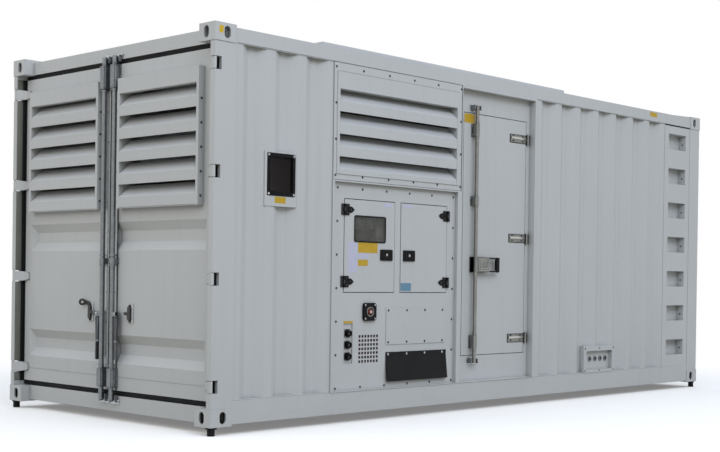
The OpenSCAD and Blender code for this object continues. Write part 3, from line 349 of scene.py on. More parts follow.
def zincPlate(name, look):
    # hot-dip galvanised steel: dull grey, with spangles and handling marks; with a darker pair
    # of colours it is forged or blackened steel, cloudy in the same way
    material, tree, shader, place = newFinish(name, {"Metallic": look["metallic"]})
    spangle = addNode(tree, "ShaderNodeTexVoronoi", {"Scale": 1000 / look["spangle"]},
                      {"Vector": place})
    smear = addNode(tree, "ShaderNodeTexNoise", {"Scale": 1000 / 45, "Detail": 5},
                    {"Vector": place})
    spangleTone = addNode(tree, "ShaderNodeSeparateColor", None,
                          {"Color": spangle.outputs["Color"]})
    both = addNode(tree, "ShaderNodeMix", {"data_type": "FLOAT", 0: 0.4},
                   {2: smear, 3: spangleTone.outputs["Red"]})
    tint = addNode(tree, "ShaderNodeMix",
                   {"data_type": "RGBA", 6: hexColour(look["dark"]), 7: hexColour(look["light"])},
                   {0: both})
    # painted shade in creases and gaps, a dark outline round each part
    colour = darkCreases(tree, tint.outputs[2], 14, "#26282B", look["crease"])
    if "blackBeyond" in look:  # the catch, away from the middle of the doors, isn't galvanised
        axes = addNode(tree, "ShaderNodeSeparateXYZ", None, {"Vector": place})
        off = addNode(tree, "ShaderNodeMath", {"operation": "ABSOLUTE"}, {0: axes.outputs["Y"]})
        zone = addNode(tree, "ShaderNodeMath", {"operation": "GREATER_THAN",
                                                1: look["blackBeyond"]}, {0: off})
        black = addNode(tree, "ShaderNodeMix", {"data_type": "RGBA", 7: hexColour("#262423")},
                        {0: zone, 6: colour})
        metal = addNode(tree, "ShaderNodeMapRange", {"To Min": look["metallic"], "To Max": 0.1},
                        {"Value": zone})
        tree.links.new(metal.outputs[0], shader.inputs["Metallic"])
        colour = black.outputs[2]
    gloss = addNode(tree, "ShaderNodeMapRange",
                    {"To Min": look["gloss"][0], "To Max": look["gloss"][1]}, {"Value": both})
    linkSurface(tree, shader, colour, gloss.outputs[0], smear, (0.2, 0.0005), 1.2)
    return material


def brushedSteel(name, look):
    # stainless sheet and bar brushed along one direction, with soft bright bands
    material, tree, shader, place = newFinish(name, {"Metallic": 1.0})
    along = addNode(tree, "ShaderNodeMapping", {"Scale": (1000 / 3, 1000 / 3, 1000 / 90)},
                    {"Vector": place})  # hairs 3 mm apart and 90 mm long
    hair = addNode(tree, "ShaderNodeTexNoise", {"Scale": 1, "Detail": 4, "Roughness": 0.7},
                   {"Vector": along})
    cloud = addNode(tree, "ShaderNodeTexNoise", {"Scale": 1000 / 90, "Detail": 3},
                    {"Vector": place})
    tint = addNode(tree, "ShaderNodeMix",
                   {"data_type": "RGBA", 6: hexColour(look["dark"]), 7: hexColour(look["light"])},
                   {0: cloud})
    # painted shade in creases and gaps, a dark outline round each part
    colour = darkCreases(tree, tint.outputs[2], 12, "#2B2A28", look["crease"])
    gloss = addNode(tree, "ShaderNodeMapRange",
                    {"To Min": look["gloss"][0], "To Max": look["gloss"][1]}, {"Value": hair})
    rough = gloss.outputs[0]
    if "blackBefore" in look:  # the hinges of the control doors are black nylon
        axes = addNode(tree, "ShaderNodeSeparateXYZ", None, {"Vector": place})
        zone = addNode(tree, "ShaderNodeMath", {"operation": "LESS_THAN", 1: look["blackBefore"]},
                       {0: axes.outputs["X"]})
        black = addNode(tree, "ShaderNodeMix", {"data_type": "RGBA", 7: hexColour("#141518")},
                        {0: zone, 6: colour})
        colour = black.outputs[2]
        metal = addNode(tree, "ShaderNodeMath", {"operation": "SUBTRACT", 0: 1.0}, {1: zone})
        tree.links.new(metal.outputs[0], shader.inputs["Metallic"])
        dull = addNode(tree, "ShaderNodeMath", {"operation": "MULTIPLY_ADD", 1: 0.12},
                       {0: zone, 2: rough})
        rough = dull.outputs[0]
    linkSurface(tree, shader, colour, rough, hair, (0.15, 0.0003), 1.0)
    return material


def grainedSurface(name, look):
    # rubber, moulded plastic or a dirty casting: matt, mottled by bloom and dust, finely
    # grained; near black, or in another pair of colours
    material, tree, shader, place = newFinish(name, {"Specular IOR Level": look["specular"]})
    bloom = addNode(tree, "ShaderNodeTexNoise", {"Scale": 1000 / look["bloom"], "Detail": 5},
                    {"Vector": place})
    grain = addNode(tree, "ShaderNodeTexNoise", {"Scale": 1000 / look["grain"], "Detail": 2},
                    {"Vector": place})
    tint = addNode(tree, "ShaderNodeMix",
                   {"data_type": "RGBA", 6: hexColour(look["dark"]), 7: hexColour(look["light"])},
                   {0: bloom})
    gloss = addNode(tree, "ShaderNodeMapRange",
                    {"From Min": 0.3, "From Max": 0.7, "To Min": look["gloss"][0],
                     "To Max": look["gloss"][1]}, {"Value": bloom})
    linkSurface(tree, shader, tint.outputs[2], gloss.outputs[0], grain, (0.25, 0.0004), 1.0)
    return material


def thinSheet(name, look):
    # tinted glass clouded by dust and by painted reflections, or matt vinyl film with a slight
    # sun-fade
    sockets = {key: look[key] for key in ("Alpha", "Specular IOR Level") if key in look}
    material, tree, shader, place = newFinish(name, sockets)
    cloud = addNode(tree, "ShaderNodeTexNoise",
                    {"Scale": 1000 / look["cloud"], "Detail": look["detail"]}, {"Vector": place})
    tint = addNode(tree, "ShaderNodeMix",
                   {"data_type": "RGBA", 6: hexColour(look["dark"]), 7: hexColour(look["light"])},
                   {0: cloud})
    gloss = addNode(tree, "ShaderNodeMapRange",
                    {"To Min": look["gloss"][0], "To Max": look["gloss"][1]}, {"Value": cloud})
    linkSurface(tree, shader, tint.outputs[2], gloss.outputs[0], cloud, look["relief"])
    return material


paintLook = {
    "light": "#C3C6C7", "shade": "#BCBFC1", "rain": "#A6A9A8", "lowTint": "#9FA1A2",
    "sootAndShade": "#6A685B", "streaks": 0.14, "lowTintAmount": 0.22, "grimeAndShade": 0.45, "gloss": (0.36, 0.5),
    "edge": 3.0}
bodyPaint = sprayedPaint("sprayed_acrylic_offwhite", paintLook)
castingBlock = (0.178, 0.162, 0.118)  # length, width and height of a casting, in m
footPaint = sprayedPaint("sprayed_cast_steel_lower", dict(
    paintLook, portDark="#15140F", portAmount=1.0, block=castingBlock,
    outer=(castings[1].x, castings[1].y, castings[1].z)))
headPaint = sprayedPaint("sprayed_cast_steel_upper", dict(
    paintLook, portDark="#5E5F59", portAmount=0.7, block=castingBlock,
    outer=(castings[1].x, castings[1].y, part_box("top_corner_castings")[1].z),
    patch={"middle": tuple(spot(52, 0, 2546)), "half": (0.017, 0.001, 0.023),
           "colour": "#D2AE1E"}))
deckPaint = sprayedPaint("sprayed_deck_enamel_grey", {
    "light": "#56585A", "shade": "#494B4D", "rain": "#3B3B3A", "lowTint": "#5E574C",
    "sootAndShade": "#2A2A29", "streaks": 0.3, "lowTintAmount": 0.4, "grimeAndShade": 0.5, "gloss": (0.5, 0.7),
    "edge": 3.0})
cabinetPaint = sprayedPaint("powder_coated_steel_grey", {
    "light": "#8E9396", "shade": "#85898C", "rain": "#75777A", "lowTint": "#7A766D",
    "sootAndShade": "#4F4F4D", "streaks": 0.05, "lowTintAmount": 0.02, "grimeAndShade": 0.3, "gloss": (0.42, 0.55),
    "edge": 2.0})
zincLook = {"dark": "#63676A", "light": "#94989B", "spangle": 9, "gloss": (0.34, 0.52),
            "metallic": 0.85, "crease": 0.75}
darkZinc = zincPlate("galvanised_steel_weathered", zincLook)
rodZinc = zincPlate("galvanised_steel_bar", {
    "dark": "#666A6C", "light": "#8A8E90", "spangle": 12, "gloss": (0.28, 0.42), "metallic": 0.9,
    "crease": 0.8})
guideZinc = zincPlate("galvanised_steel_and_black_catch", dict(zincLook, blackBeyond=0.19))
stripZinc = zincPlate("galvanised_steel_strip", {  # paler than the other zinc, a painted lift against the shade between the two bars
    "dark": "#B4B8BA", "light": "#D6D9DA", "spangle": 12, "gloss": (0.35, 0.5), "metallic": 0.5,
    "crease": 0.2})
forgedSteel = zincPlate("forged_steel_dark", {  # oiled and handled, a dull dark shine
    "dark": "#3E4043", "light": "#66696C", "spangle": 10, "gloss": (0.35, 0.55), "metallic": 0.7,
    "crease": 0.8})
forgedBlack = zincPlate("forged_steel_scale_black", {  # brown black mill scale, no shine
    "dark": "#1B1918", "light": "#35312F", "spangle": 10, "gloss": (0.5, 0.65), "metallic": 0.1,
    "crease": 0.7})
brightZinc = zincPlate("zinc_plated_bolt_steel", {  # electroplated, pale and bright
    "dark": "#94979A", "light": "#C8CBCC", "spangle": 14, "gloss": (0.2, 0.34),
    "metallic": 1.0, "crease": 0.5})
blackBolt = zincPlate("black_oxide_bolt_steel", {  # blued, dark with a soft glint
    "dark": "#36393E", "light": "#5C6066", "spangle": 14, "gloss": (0.35, 0.5),
    "metallic": 0.7, "crease": 0.6})
stainless = brushedSteel("stainless_steel_brushed", {
    "dark": "#9B9C9B", "light": "#CFCFCB", "gloss": (0.18, 0.34), "crease": 0.9})
pickledLook = {"dark": "#646663", "light": "#92948F", "gloss": (0.26, 0.42), "crease": 0.9}
dullSteel = brushedSteel("stainless_steel_pickled", pickledLook)
leverSteel = brushedSteel("stainless_steel_pressed", dict(
    pickledLook, dark="#5F615E", light="#898B87"))
bronzedSteel = brushedSteel("stainless_steel_stained", dict(  # long bar, stained by weather
    pickledLook, dark="#6B6B68", light="#93928E"))
hingeSteel = brushedSteel("stainless_and_nylon_hinge_halves", dict(
    pickledLook, blackBefore=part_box("personnel_leaf")[0].x))
moulded = grainedSurface("moulded_polyamide_black", {  # even, near black, a soft sheen
    "dark": "#070708", "light": "#101113", "bloom": 60, "grain": 4, "gloss": (0.34, 0.5),
    "specular": 0.12})
rubber = grainedSurface("extruded_epdm_rubber", {  # dull black, greyed by bloom
    "dark": "#0F1011", "light": "#1D1F20", "bloom": 120, "grain": 5, "gloss": (0.5, 0.75),
    "specular": 0.14})
dustyRubber = grainedSurface("extruded_epdm_rubber_dusty", {  # olive grey sheet that paints the shade inside the hinge bar
    "dark": "#65665F", "light": "#7E7F78", "bloom": 140, "grain": 5, "gloss": (0.6, 0.8),
    "specular": 0.3})
ductPlastic = grainedSurface("extruded_pvc_duct_grey", {  # pale warm grey, half matt
    "dark": "#CFCEC2", "light": "#E2E1D6", "bloom": 60, "grain": 5, "gloss": (0.4, 0.55),
    "specular": 0.4})
castingRust = grainedSurface("cast_steel_dirty", {  # unpainted, oily lining of the window's well
    "dark": "#191817", "light": "#33302C", "bloom": 50, "grain": 5, "gloss": (0.6, 0.85),
    "specular": 0.3})
sealant = grainedSurface("polyurethane_sealant_grey", {  # tooled beads, mid grey and dull, dark enough to paint shadow lines
    "dark": "#55585A", "light": "#6D7072", "bloom": 80, "grain": 5, "gloss": (0.5, 0.7),
    "specular": 0.4})
russetFoam = grainedSurface("filter_foam_russet", {  # coarse and unlit, a brown red
    "dark": "#3A2320", "light": "#6B3B33", "bloom": 24, "grain": 5, "gloss": (0.7, 0.9),
    "specular": 0.2})
redPlastic = grainedSurface("moulded_acetal_red", {  # smooth, faded a little by the sun
    "dark": "#7E2F24", "light": "#A04132", "bloom": 30, "grain": 4, "gloss": (0.3, 0.45),
    "specular": 0.5})
glassLook = {"cloud": 70, "detail": 5, "gloss": (0.04, 0.16), "relief": (0.1, 0.0004)}
# the cloud on both panes is dust and painted reflections
windowGlass = thinSheet("tempered_glass_grey", {
    **glassLook, "dark": "#1C1D1D", "light": "#86877F", "Alpha": 0.4, "Specular IOR Level": 0.5})
darkGlass = thinSheet("smoked_glass_black", {
    **glassLook, "dark": "#121213", "light": "#2B2321", "Alpha": 0.75,
    "Specular IOR Level": 0.12})
filmLook = {"cloud": 40, "detail": 4, "gloss": (0.35, 0.6), "relief": (0.1, 0.0003)}
yellowFilm = thinSheet("vinyl_film_yellow", dict(filmLook, dark="#C4A11A", light="#B7951C"))
whiteFilm = thinSheet("vinyl_film_white", dict(filmLook, dark="#C6C8DC", light="#B9BBD2"))
blueFilm = thinSheet("vinyl_film_blue", dict(filmLook, dark="#648CA6", light="#5C829C"))

finishesOf = {  # the record's slots: first the finish of its CAD nodes, then those of new pieces
    "white_paint": (bodyPaint,), "dark_floor": (deckPaint,), "black_plastic": (moulded,),
    "cabinet_grey": (cabinetPaint, ductPlastic), "black_rubber": (rubber, dustyRubber),
    "zinc_steel": (darkZinc, brightZinc, blackBolt, stripZinc, forgedSteel, forgedBlack),
    "stainless": (stainless, dullSteel, leverSteel, bronzedSteel),
    "window_glass": (windowGlass, darkGlass)}
finishFor = {"bottom_corner_castings": footPaint, "top_corner_castings": headPaint,
             "hinge_halves": hingeSteel, "personnel_rod": bronzedSteel,
             "personnel_fittings": dullSteel, "personnel_lever": leverSteel,
             "cargo_fittings_right": guideZinc, "cargo_fittings_left": guideZinc,
             "cargo_rod_right": rodZinc, "cargo_rod_left": rodZinc,
             "cargo_handle_right": forgedSteel, "cargo_handle_left": forgedSteel}
for part in frame["record"]["subparts"]:
    for slot in frame["nodes"][part["node"]].material_slots:
        slot.material = finishFor.get(part["node"], finishesOf[part["material_slot"]][0])
print("finishes set")

# bolts: sides, radius and thickness of the washer, then radius and height of the head, in mm
fasteners = {
    "smallBolt": (12, 9, 1.2, 6.5, 3.4), "rivet": (12, 6, 0.8, 5, 2.6),
    "flushScrew": (16, 8.5, 0.15, 6.5, 0.15), "earRivet": (10, 5.4, 0.6, 4.6, 3.4),
    "catchStud": (12, 6, 1, 5, 3), "pivotBolt": (6, 12, 1.5, 10, 6),
    "keeperNut": (6, 11, 1.5, 9, 7), "strapBolt": (14, 7.5, 1.2, 6.5, 4),
    "guideRivet": (12, 4.6, 0.8, 4, 2.6), "baseNut": (6, 6, 0.8, 5, 4),
    "padKey": (10, 8, 1, 6.5, 3), "hingeScrew": (10, 5.5, 0.8, 4.4, 1.8),
    "contactPin": (10, 2.6, 1, 2, 4), "plateScrew": (10, 4, 0.6, 3.2, 1.6),
    "buttonHub": (20, 12, 0.8, 10, 2.4), "boxScrew": (12, 7, 1, 5.5, 3),
    "frameScrew": (14, 8.5, 0.8, 7, 1.6), "drainPlug": (12, 10, 1.2, 7, 4)}


def makeBolt(kind):  # washer, tapered head and a socket, pointing up
    sides, washer, sheet, head, high = fasteners[kind]
    return workFaces(addRound(Vector(), washer, sheet, "roof", sides), "roof",
                     (washer - head, high * 0.6), (0, high * 0.4, (0.8, 0.8, 1)),
                     (head * 0.3, -high * 0.4))


def addBolts(name, body, kind, places, toward="near", finish=brightZinc):
    return finishPiece(copyTo(makeBolt(kind), places, toward), name, body, finish)


def addWallBolts():
    # a row is its first place, pitch and count, and a rise the heights that have a full row
    louvre = {"row": (1081, 269, 6), "rise": (2445, 1688), "ends": (2193, 1940), "depth": 5}
    plate = {"row": (1129, 249.2, 6), "rise": (190, 235.8, 7), "depth": 30}
    cover = {"row": (1661, 200, 4), "rise": (502, 736), "depth": 26, "flap": (25, 414)}
    terminal = {"row": (4145, 4365, 4585), "rise": (183, 378), "depth": 0}
    row = rowOf(*louvre["row"])
    around = [(x, louvre["depth"], z) for x in row for z in louvre["rise"]]
    around += [(x, louvre["depth"], z) for x in (row[0], row[-1]) for z in louvre["ends"]]
    addBolts("intake_bolts", "container", "smallBolt", [spot(*p) for p in around], "near",
             blackBolt)
    addBolts("back_louvre_bolts", "container", "smallBolt", [farSpot(*p) for p in around], "far",
             blackBolt)
    row, rise = rowOf(*plate["row"]), rowOf(*plate["rise"])
    around = [spot(x, plate["depth"], z) for x in (row[0], row[-1]) for z in rise]
    around += [spot(x, plate["depth"], z) for x in row[1:-1] for z in (rise[0], rise[-1])]
    addBolts("control_plate_bolts", "container", "smallBolt", around, "near", blackBolt)
    row = rowOf(*cover["row"])
    addBolts("cover_plate_bolts", "container", "smallBolt",
             [spot(x, cover["depth"], z) for x in row for z in cover["rise"]], "near", blackBolt)
    addBolts("flap_bolts", "container", "smallBolt", [spot(x, *cover["flap"]) for x in row])
    addBolts("terminal_box_screws", "container", "flushScrew",
             [spot(x, terminal["depth"], z) for x in terminal["row"] for z in terminal["rise"]],
             "near", blackBolt)


def addBuffers():
    # round buffers under the corners, each on a short plate welded to its casting
    size = {"ends": (0, 6058), "in": 37, "radius": 25, "foot": -55, "rise": 43,
            "plate": (12, 66), "thick": 12}
    parts = []
    for place in (spot, farSpot):
        for way, end in zip((1, -1), size["ends"]):
            stud = addRound(place(end + way * size["in"], size["in"], size["foot"]),
                            size["radius"], size["rise"], "roof", 32)
            pickFaces(stud, lambda normal: abs(normal.z) < 0.5)
            bpy.ops.mesh.subdivide(number_cuts=3)
            bpy.ops.object.mode_set(mode="OBJECT")
            a, b = size["plate"]
            parts += [softenEdges(stud, 1), softBlock(place(end + way * a, a, -size["thick"]),
                                                      place(end + way * b, b, 0), 2)]
    studs = finishPiece(parts, "corner_buffers", "container", rubber)
    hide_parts("support_feet")


addWallBolts()
print("bolts on the long sides done")
addBuffers()
print("corner buffers done")

# cargo doors, right and left: faces from the door end, widths in from the long side
leaf = {"face": 75, "back": 120, "hinge": 65, "meet": 1211, "low": 157.5, "top": 2442}
rod = {"depth": 42, "in": 1157, "radius": 17, "low": 90, "top": 2500}
guideRise = ((177.5, 313.5), (1045, 1085), (2272, 2440))
hingeRise = (260, 950, 1640, 2330)


def addLouvreBolts(place, side):  # on both sides of the louvre box
    size = {"depth": 51, "hinge": 193, "middle": 1099, "rise": (1490, 158, 5)}
    ways = ("near", "far") if side == "right" else ("far", "near")
    rows = [copyTo(makeBolt("smallBolt"), [place(size["depth"], x, z)
                                           for z in rowOf(*size["rise"])], way)
            for x, way in zip((size["hinge"], size["middle"]), ways)]
    finishPiece(rows, "louvre_box_bolts_" + side, "cargo_door_" + side, blackBolt)


def addGasket(place, side):
    # ribbed rubber seal above, below and up the meeting edge: flat strips, the level ones with
    # two raised lips along their outer face
    size = {"front": leaf["face"] + 10, "rear": leaf["back"] - 10, "under": 126.5, "over": 2471,
            "middle": 1214, "lip": 3, "lipHalf": 3, "lipAt": (0.25, 0.72)}
    level = [((leaf["hinge"], size["under"]), (leaf["meet"], leaf["low"])),
             ((leaf["hinge"], leaf["top"]), (leaf["meet"], size["over"]))]
    upright = ((leaf["meet"], size["under"]), (size["middle"], size["over"]))
    parts = [softBlock(place(size["front"], *low), place(size["rear"], *high), 1.2)
             for low, high in level + [upright]]
    for low, high in level:
        for share in size["lipAt"]:
            middle = low[1] + (high[1] - low[1]) * share
            parts.append(softBlock(
                place(size["front"] - size["lip"], low[0], middle - size["lipHalf"]),
                place(size["front"], high[0], middle + size["lipHalf"]), 2, 3))
    seal = finishPiece(parts, "door_gasket_" + side, "cargo_door_" + side, rubber)
    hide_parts("cargo_seal_" + side)


def addMeetingStrips(place, side):
    # a steel cover strip with a rubber lip either side of it, riveted down the leaf's edge
    size = {"lips": ((1195, 1211), (1138, 1144.5)), "steel": (1146, 1194), "proud": 4, "lip": 5,
            "pitch": 212, "first": 50, "skip": ((150, 330), (1030, 1100), (2255, 2450))}
    body, low, top = "cargo_door_" + side, leaf["low"] + 1, leaf["top"] - 1
    lips = [softBlock(place(leaf["face"] - size["lip"], a, low), place(leaf["face"], b, top),
                      2.2, 3) for a, b in size["lips"]]
    finishPiece(lips, "meeting_lips_" + side, body, rubber)
    front = leaf["face"] - size["proud"]
    # the strip's paler zinc is painted light against the shade between the bars
    finishPiece(softBlock(place(front, size["steel"][0], low),
                          place(leaf["face"], size["steel"][1], top), 1),
                "meeting_strip_" + side, body, stripZinc)
    count = int((top - low - 2 * size["first"]) / size["pitch"]) + 1
    rise = [z for z in rowOf(low + size["first"], size["pitch"], count)
            if not any(a < z < b for a, b in size["skip"])]  # none under the rod's guides
    addBolts("meeting_rivets_" + side, body, "rivet",
             [place(front, sum(size["steel"]) / 2, z) for z in rise], "door")


def addLeafTrim(place, side):
    # rubber perimeter lip at the hinge edge, and the folded seam across the foot
    size = {"edge": (65.5, 80), "proud": 4, "seam": (84, 1124), "rise": 254, "high": 6,
            "seamProud": 3}
    body = "cargo_door_" + side
    finishPiece(softBlock(place(leaf["face"] - size["proud"], size["edge"][0], leaf["low"] + 1),
                          place(leaf["face"], size["edge"][1], leaf["top"] - 1), 2, 3),
                "hinge_edge_lip_" + side, body, rubber)
    finishPiece(softBlock(place(leaf["face"] - size["seamProud"], size["seam"][0], size["rise"]),
                          place(leaf["face"], size["seam"][1], size["rise"] + size["high"]),
                          1.4, 3), "leaf_seam_" + side, body, bodyPaint)


def addRodGuides(place, side):
    # rivets on the ears of the guides, and a folded cover with two bands over each long one
    size = {"ear": (69, 29, 16), "short": 60, "cover": (19, 23, 23), "inset": 10,
            "band": (18, 56, 25), "bandHigh": 6}
    depth, out, end = size["ear"]
    spots = []
    for low, high in guideRise:
        middle = (low + high) / 2
        rise = (middle,) if high - low < size["short"] else (low + end, middle, high - end)
        spots += [place(depth, rod["in"] + s * out, z) for z in rise for s in (-1, 1)]
    addBolts("guide_rivets_" + side, "cargo_door_" + side, "earRivet", spots, "door")
    parts = []
    for low, high in (guideRise[0], guideRise[2]):
        front, rear, half = size["cover"]
        cover = addBlock(place(front, rod["in"] - half, low + size["inset"]),
                         place(rear, rod["in"] + half, high - size["inset"]))
        parts.append(softenEdges(workFaces(cover, "door", (6, -1.4)), 1.2))
        front, rear, half = size["band"]
        for z in (low + 3, high - 9):
            band = addBlock(place(front, rod["in"] - half, z),
                            place(rear, rod["in"] + half, z + size["bandHigh"]))
            parts.append(softenEdges(workFaces(band, "blank", (0, 6, (1, 0.9, 1))), 1.5))
    finishPiece(parts, "guide_covers_" + side, "cargo_door_" + side, darkZinc)


def addRodCollars(place, side):
    # split collars below and above the guides, and the cams' weld beads
    size = {"wide": 5, "high": 12, "rise": (328, 1030, 1100, 2256), "bead": (3, 8),
            "beads": (rod["low"] + 48, rod["top"] - 52)}
    parts = [softenEdges(addRound(place(rod["depth"], rod["in"], z), rod["radius"] + size["wide"],
                                  size["high"], "roof"), 1.5) for z in size["rise"]]
    parts += [softenEdges(addRound(place(rod["depth"], rod["in"], z),
                                   rod["radius"] + size["bead"][0], size["bead"][1], "roof"),
                          3, 3) for z in size["beads"]]
    finishPiece(parts, "rod_collars_" + side, "lock_rod_" + side, darkZinc)


def addCatch(place, side):
    # painted backing plate with a dark forged hasp and its sleeve, and on the left door an arm
    # with an end ring
    size = {"in": 977, "rise": 702, "face": 69, "wide": 32, "high": 66, "lip": 2, "proud": 1.2,
            "hasp": (15, 62, 8), "sleeve": ((52.5, -8, -12), (62, 52, 4)), "studs": (-40, 0, 40),
            "arm": 86, "lift": 68, "ring": 25, "bore": 9, "thick": 9, "turn": 50, "stand": 20}
    body, x, z = "cargo_door_" + side, size["in"], size["rise"]
    wide, high = size["wide"], size["high"] + size["lip"]
    finishPiece(softBlock(place(size["face"] - size["proud"], x - wide, z - high),
                          place(leaf["face"], x + wide, z + high), 3, 3),
                "catch_pad_" + side, body, bodyPaint)
    half, tall, front = size["hasp"]
    hasp = addBlock(place(size["face"] - front, x - half, z - tall),
                    place(size["face"] - 1, x + half, z + tall))
    pickFaces(hasp, lambda normal: abs(normal.z) > 0.9)
    bpy.ops.transform.resize(value=(1, 0.7, 1))
    bpy.ops.object.mode_set(mode="OBJECT")
    parts = [softenEdges(workFaces(hasp, "door", (5, -2.5)), 2.5, 3)]
    a, b = size["sleeve"]
    parts.append(softBlock(place(a[0], x + a[1], z + a[2]), place(b[0], x + b[1], z + b[2]), 3, 3))
    if side == "left":
        ringX, ringZ = x - size["arm"], z + size["lift"]
        centre = place(leaf["face"] - size["stand"], ringX, ringZ)
        ring = cutThrough(addRound(centre, size["ring"], size["thick"], "door", 28),
                          size["ring"] - size["bore"], lambda normal: abs(normal.x) > 0.9)
        swing = Matrix.Rotation(math.radians(size["turn"]), 4, "Z")
        ring.data.transform(Matrix.Translation(centre) @ swing @ Matrix.Translation(-centre))
        arm = addBlock(place(leaf["face"] - 11, ringX + 13, ringZ - 14),
                       place(leaf["face"] - 1, x - 2, ringZ + 16))
        pickFaces(arm, lambda normal: normal.y < -0.9)
        bpy.ops.transform.translate(value=(0, 0, -0.016))
        bpy.ops.object.mode_set(mode="OBJECT")
        parts += [softenEdges(ring, 1.5, 2, 50), softenEdges(arm, 3, 3)]
    finishPiece(parts, "catch_hasp_" + side, body, forgedBlack)
    addBolts("catch_studs_" + side, body, "catchStud",
             [place(size["face"] - 5.6, x, z + dz) for dz in size["studs"]], "door")


def addHingeDetail(place, side):  # dark beads above and below each blade's foot that paint its shadow lines
    size = {"in": (82, 141), "proud": 3, "off": 27, "half": 2.5}
    beads = [softBlock(place(leaf["face"] - size["proud"], size["in"][0], z - size["half"]),
                       place(leaf["face"], size["in"][1], z + size["half"]), 1.4)
             for middle in hingeRise for z in (middle - size["off"], middle + size["off"])]
    finishPiece(beads, "hinge_seams_" + side, "cargo_door_" + side, sealant)


def addHandleDetail(place, side):
    # forged body below the pivot, tapering to a cuff on the bar; a dipped plastic sleeve, a
    # little wider than the bar, on the left handle and a knob on the right; the pivot's bolt
    size = {"in": 1107, "pivot": (29, 695), "top": 671, "waist": 505, "end": 371,
            "forged": (8.5, 21), "cuff": (9.5, 18, -8, 4), "grip": (8, 15, 12),
            "knob": (6, 18, 2, 10)}
    body, x, depth = "lock_handle_" + side, size["in"], rod["depth"]
    thick, wide = size["forged"]
    forged = addBlock(place(depth - thick, x - wide, size["waist"]),
                      place(depth + thick, x + wide, size["top"]))
    pickFaces(forged, lambda normal: normal.z < -0.9)
    bpy.ops.transform.resize(value=(1, 0.6, 1))
    bpy.ops.object.mode_set(mode="OBJECT")
    finishPiece(softenEdges(workFaces(forged, "door", (6, -3)), 3, 3), "handle_body_" + side,
                body, forgedSteel)
    thick, wide, low, high = size["cuff"]
    finishPiece(softBlock(place(depth - thick, x - wide, size["waist"] + low),
                          place(depth + thick, x + wide, size["waist"] + high), 4, 4),
                "handle_cuff_" + side, body, darkZinc)
    if side == "left":
        thick, wide, below = size["grip"]
        grip = addBlock(place(depth - thick, x - wide, size["end"]),
                        place(depth + thick, x + wide, size["waist"] - below))
        workFaces(grip, "floor", (0, 3, (0.8, 0.8, 1)))
        finishPiece(softenEdges(grip, 6, 5), "handle_grip_" + side, body, moulded)
    else:
        front, across, above, radius = size["knob"]
        knob = addRound(place(depth - front, x - across, size["pivot"][1] + above), radius, 10,
                        "door")
        workFaces(knob, "door", (0, 3, (1, 0.75, 0.75)))
        finishPiece(softenEdges(knob, 1.5, 3), "handle_knob_" + side, body, moulded)
    front, rise = size["pivot"]
    addBolts("handle_pivot_" + side, "lock_rod_" + side, "pivotBolt", [place(front, x, rise)],
             "door")


def addKeeperPlates(place, side):  # welded base plates and nuts round the keeper lugs
    size = {"face": 78, "thick": 5, "half": 50, "nut": 43, "rise": ((2482, 2524), (62, 113))}
    front = size["face"] - size["thick"]
    plates = [softBlock(place(front, rod["in"] - size["half"], low),
                        place(size["face"], rod["in"] + size["half"], high), 2.5, 3)
              for low, high in size["rise"]]
    finishPiece(plates, "keeper_plates_" + side, "container", brightZinc)
    addBolts("keeper_nuts_" + side, "container", "keeperNut",
             [place(front, rod["in"] + s * size["nut"], (low + high) / 2)
              for low, high in size["rise"] for s in (-1, 1)], "door")


def addPostTrim(place, side):
    # a strip on the step of the post, an olive grey rubber sheet inside the hinge bar that paints
    # the shade there, a lining behind the leaf's edge, and black pads that paint the shade at the
    # back of each hinge notch
    size = {"rise": (150, 2446), "half": 44, "strip": ((53, 50.8), (60, 60)),
            "facing": ((7, 49), (59, 50.6)), "lining": ((59, 60), (84, 62.5)),
            "pad": ((57.5, 30), (60, 52)), "padHalf": 41}
    low, top = size["rise"]
    a, b = size["strip"]
    finishPiece(softBlock(place(*a, low), place(*b, top), 2.5, 3), "post_strip_" + side,
                "container", rubber)
    stops = [low] + [z + way * size["half"] for z in hingeRise for way in (-1, 1)] + [top]
    # painted shade: an olive grey sheet on the inside of the hinge bar
    a, b = size["facing"]
    facings = [softBlock(place(*a, z0), place(*b, z1), 0.6)
               for z0, z1 in zip(stops[::2], stops[1::2])]
    finishPiece(facings, "post_facing_" + side, "container", dustyRubber)
    a, b = size["lining"]
    finishPiece(softBlock(place(*a, low), place(*b, top), 0.8), "post_lining_" + side,
                "container", rubber)
    # painted shade: black pads at the back of each hinge notch
    a, b = size["pad"]
    pads = [softBlock(place(*a, z - size["padHalf"]), place(*b, z + size["padHalf"]), 1)
            for z in hingeRise]
    finishPiece(pads, "notch_pads_" + side, "container", rubber)


for side, place in bothSides:
    for addDetail in (addLouvreBolts, addGasket, addMeetingStrips, addLeafTrim, addRodGuides,
                      addRodCollars, addCatch):
        addDetail(place, side)
print("cargo door trim done")
for side, place in bothSides:
    for addDetail in (addHingeDetail, addHandleDetail, addKeeperPlates, addPostTrim):
        addDetail(place, side)
print("cargo door hardware done")

# side door: places along the near side, depths in from it
sideDoor = {"straps": (495, 1315, 2135), "rod": 2643, "lever": 1090, "leverFace": 13}


